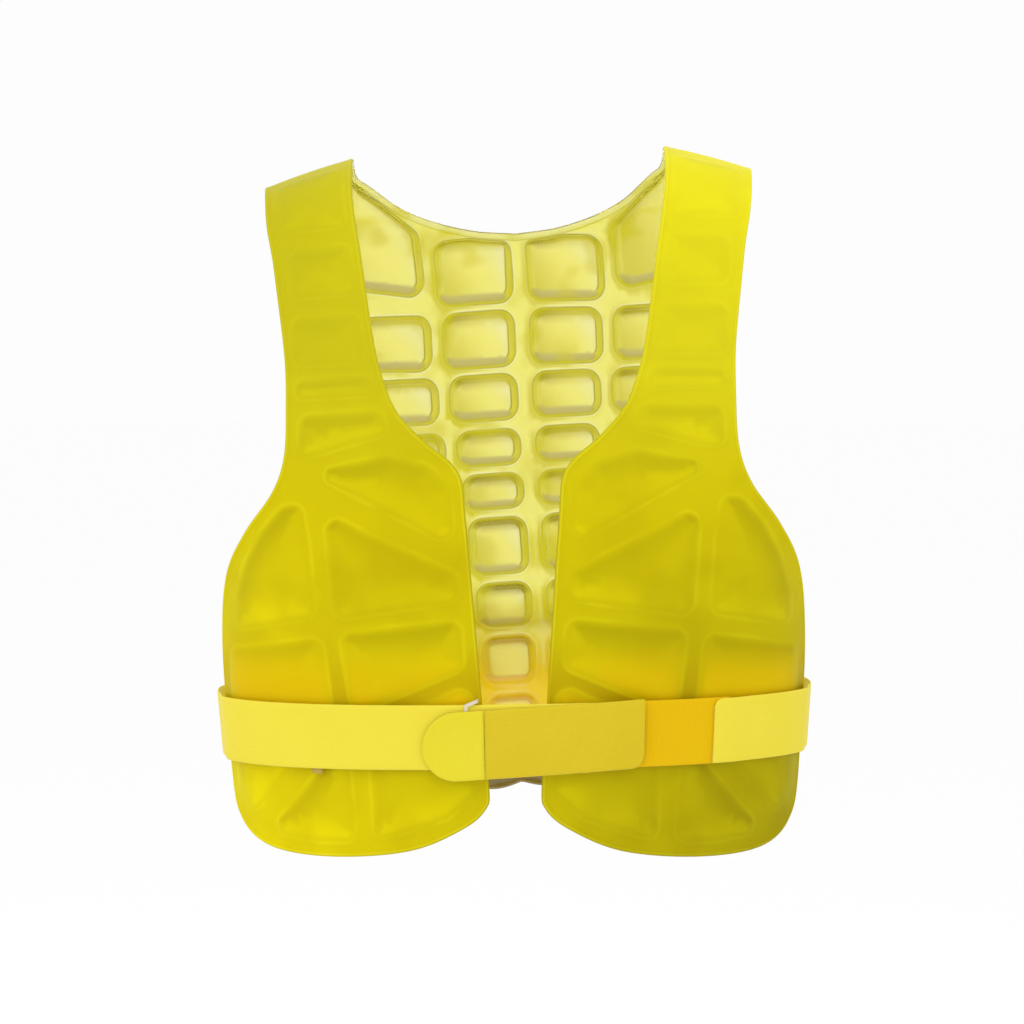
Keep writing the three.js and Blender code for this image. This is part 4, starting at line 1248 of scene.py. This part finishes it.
# %% Strap and tab
strap_places = np.concatenate([
    spaced(TAB_SEAM + SEAM_GAP / 2, STRAP_END - STRAP_CORNER)[:-1],
    STRAP_END - STRAP_CORNER * corner_steps(10)[::-1]])
ribbon(
    "strap", strap_places,
    lambda p: strap_line(p) + STRAP_BAND_WIDTH / 2 - round_off(STRAP_END - p, SOFT_CORNER),
    lambda p: strap_line(p) - STRAP_BAND_WIDTH / 2 + round_off(STRAP_END - p, STRAP_CORNER),
    flat_level(STRAP_LEVEL), BELT_THICKNESS, strap_webbing, "belt_strap")

tab_radius = STRAP_BAND_WIDTH / 2
TAB_BLUNT = 0.06  # the tip keeps this share of the width, so that its rows don't meet
tab_places = np.concatenate([
    TAB_TIP + tab_radius * corner_steps(28)[:-1],
    spaced(TAB_TIP + tab_radius, TAB_SEAM - SEAM_GAP / 2)])


def tab_half(place):
    half = tab_radius - round_off(place - TAB_TIP, tab_radius)
    return np.maximum(half, TAB_BLUNT * tab_radius)


ribbon(
    "tab", tab_places,
    lambda p: strap_line(p) + tab_half(p), lambda p: strap_line(p) - tab_half(p),
    flat_level(STRAP_LEVEL), BELT_THICKNESS, tab_webbing, "belt_tab")

# %% Hook tape and anchor tape
stub_start = HOOK["end"] - HOOK["stub"]
arm_start = stub_start + HOOK["arm"]
hook_places = np.concatenate([
    spaced(HOOK["start"], stub_start), spaced(stub_start + SEAM_GAP, arm_start),
    spaced(arm_start + SEAM_GAP, HOOK["end"])])


def hook_slant(place):
    """Top of the bent scrap, which slants up past the band's edge."""
    rise = HOOK["proud"] * (place - stub_start) / HOOK["stub"]
    return belt_height(place) + BAND_WIDTH / 2 + SEAM_GAP + rise


ribbon(
    "hook_tape_strip", hook_places,
    lambda p: np.where(p > stub_start, hook_slant(p), strap_line(p) + HOOK["tall"] / 2),
    lambda p: np.where(
        p > arm_start, hook_slant(p) - HOOK["arm"], strap_line(p) - HOOK["tall"] / 2),
    flat_level(LAP_STEP), HOOK["thick"], hook_nylon, "hook_tape")

ribbon(
    "anchor_tape_strip", spaced(ANCHOR["start"], ANCHOR["end"]),
    lambda p: belt_height(p) - BAND_WIDTH / 2 - ANCHOR["below"] + ANCHOR["tall"],
    lambda p: belt_height(p) - BAND_WIDTH / 2 - ANCHOR["below"],
    flat_level((-BELT_CLEARANCE - ANCHOR["thick"]) / 2), ANCHOR["thick"],
    beige_tape, "anchor_tape")
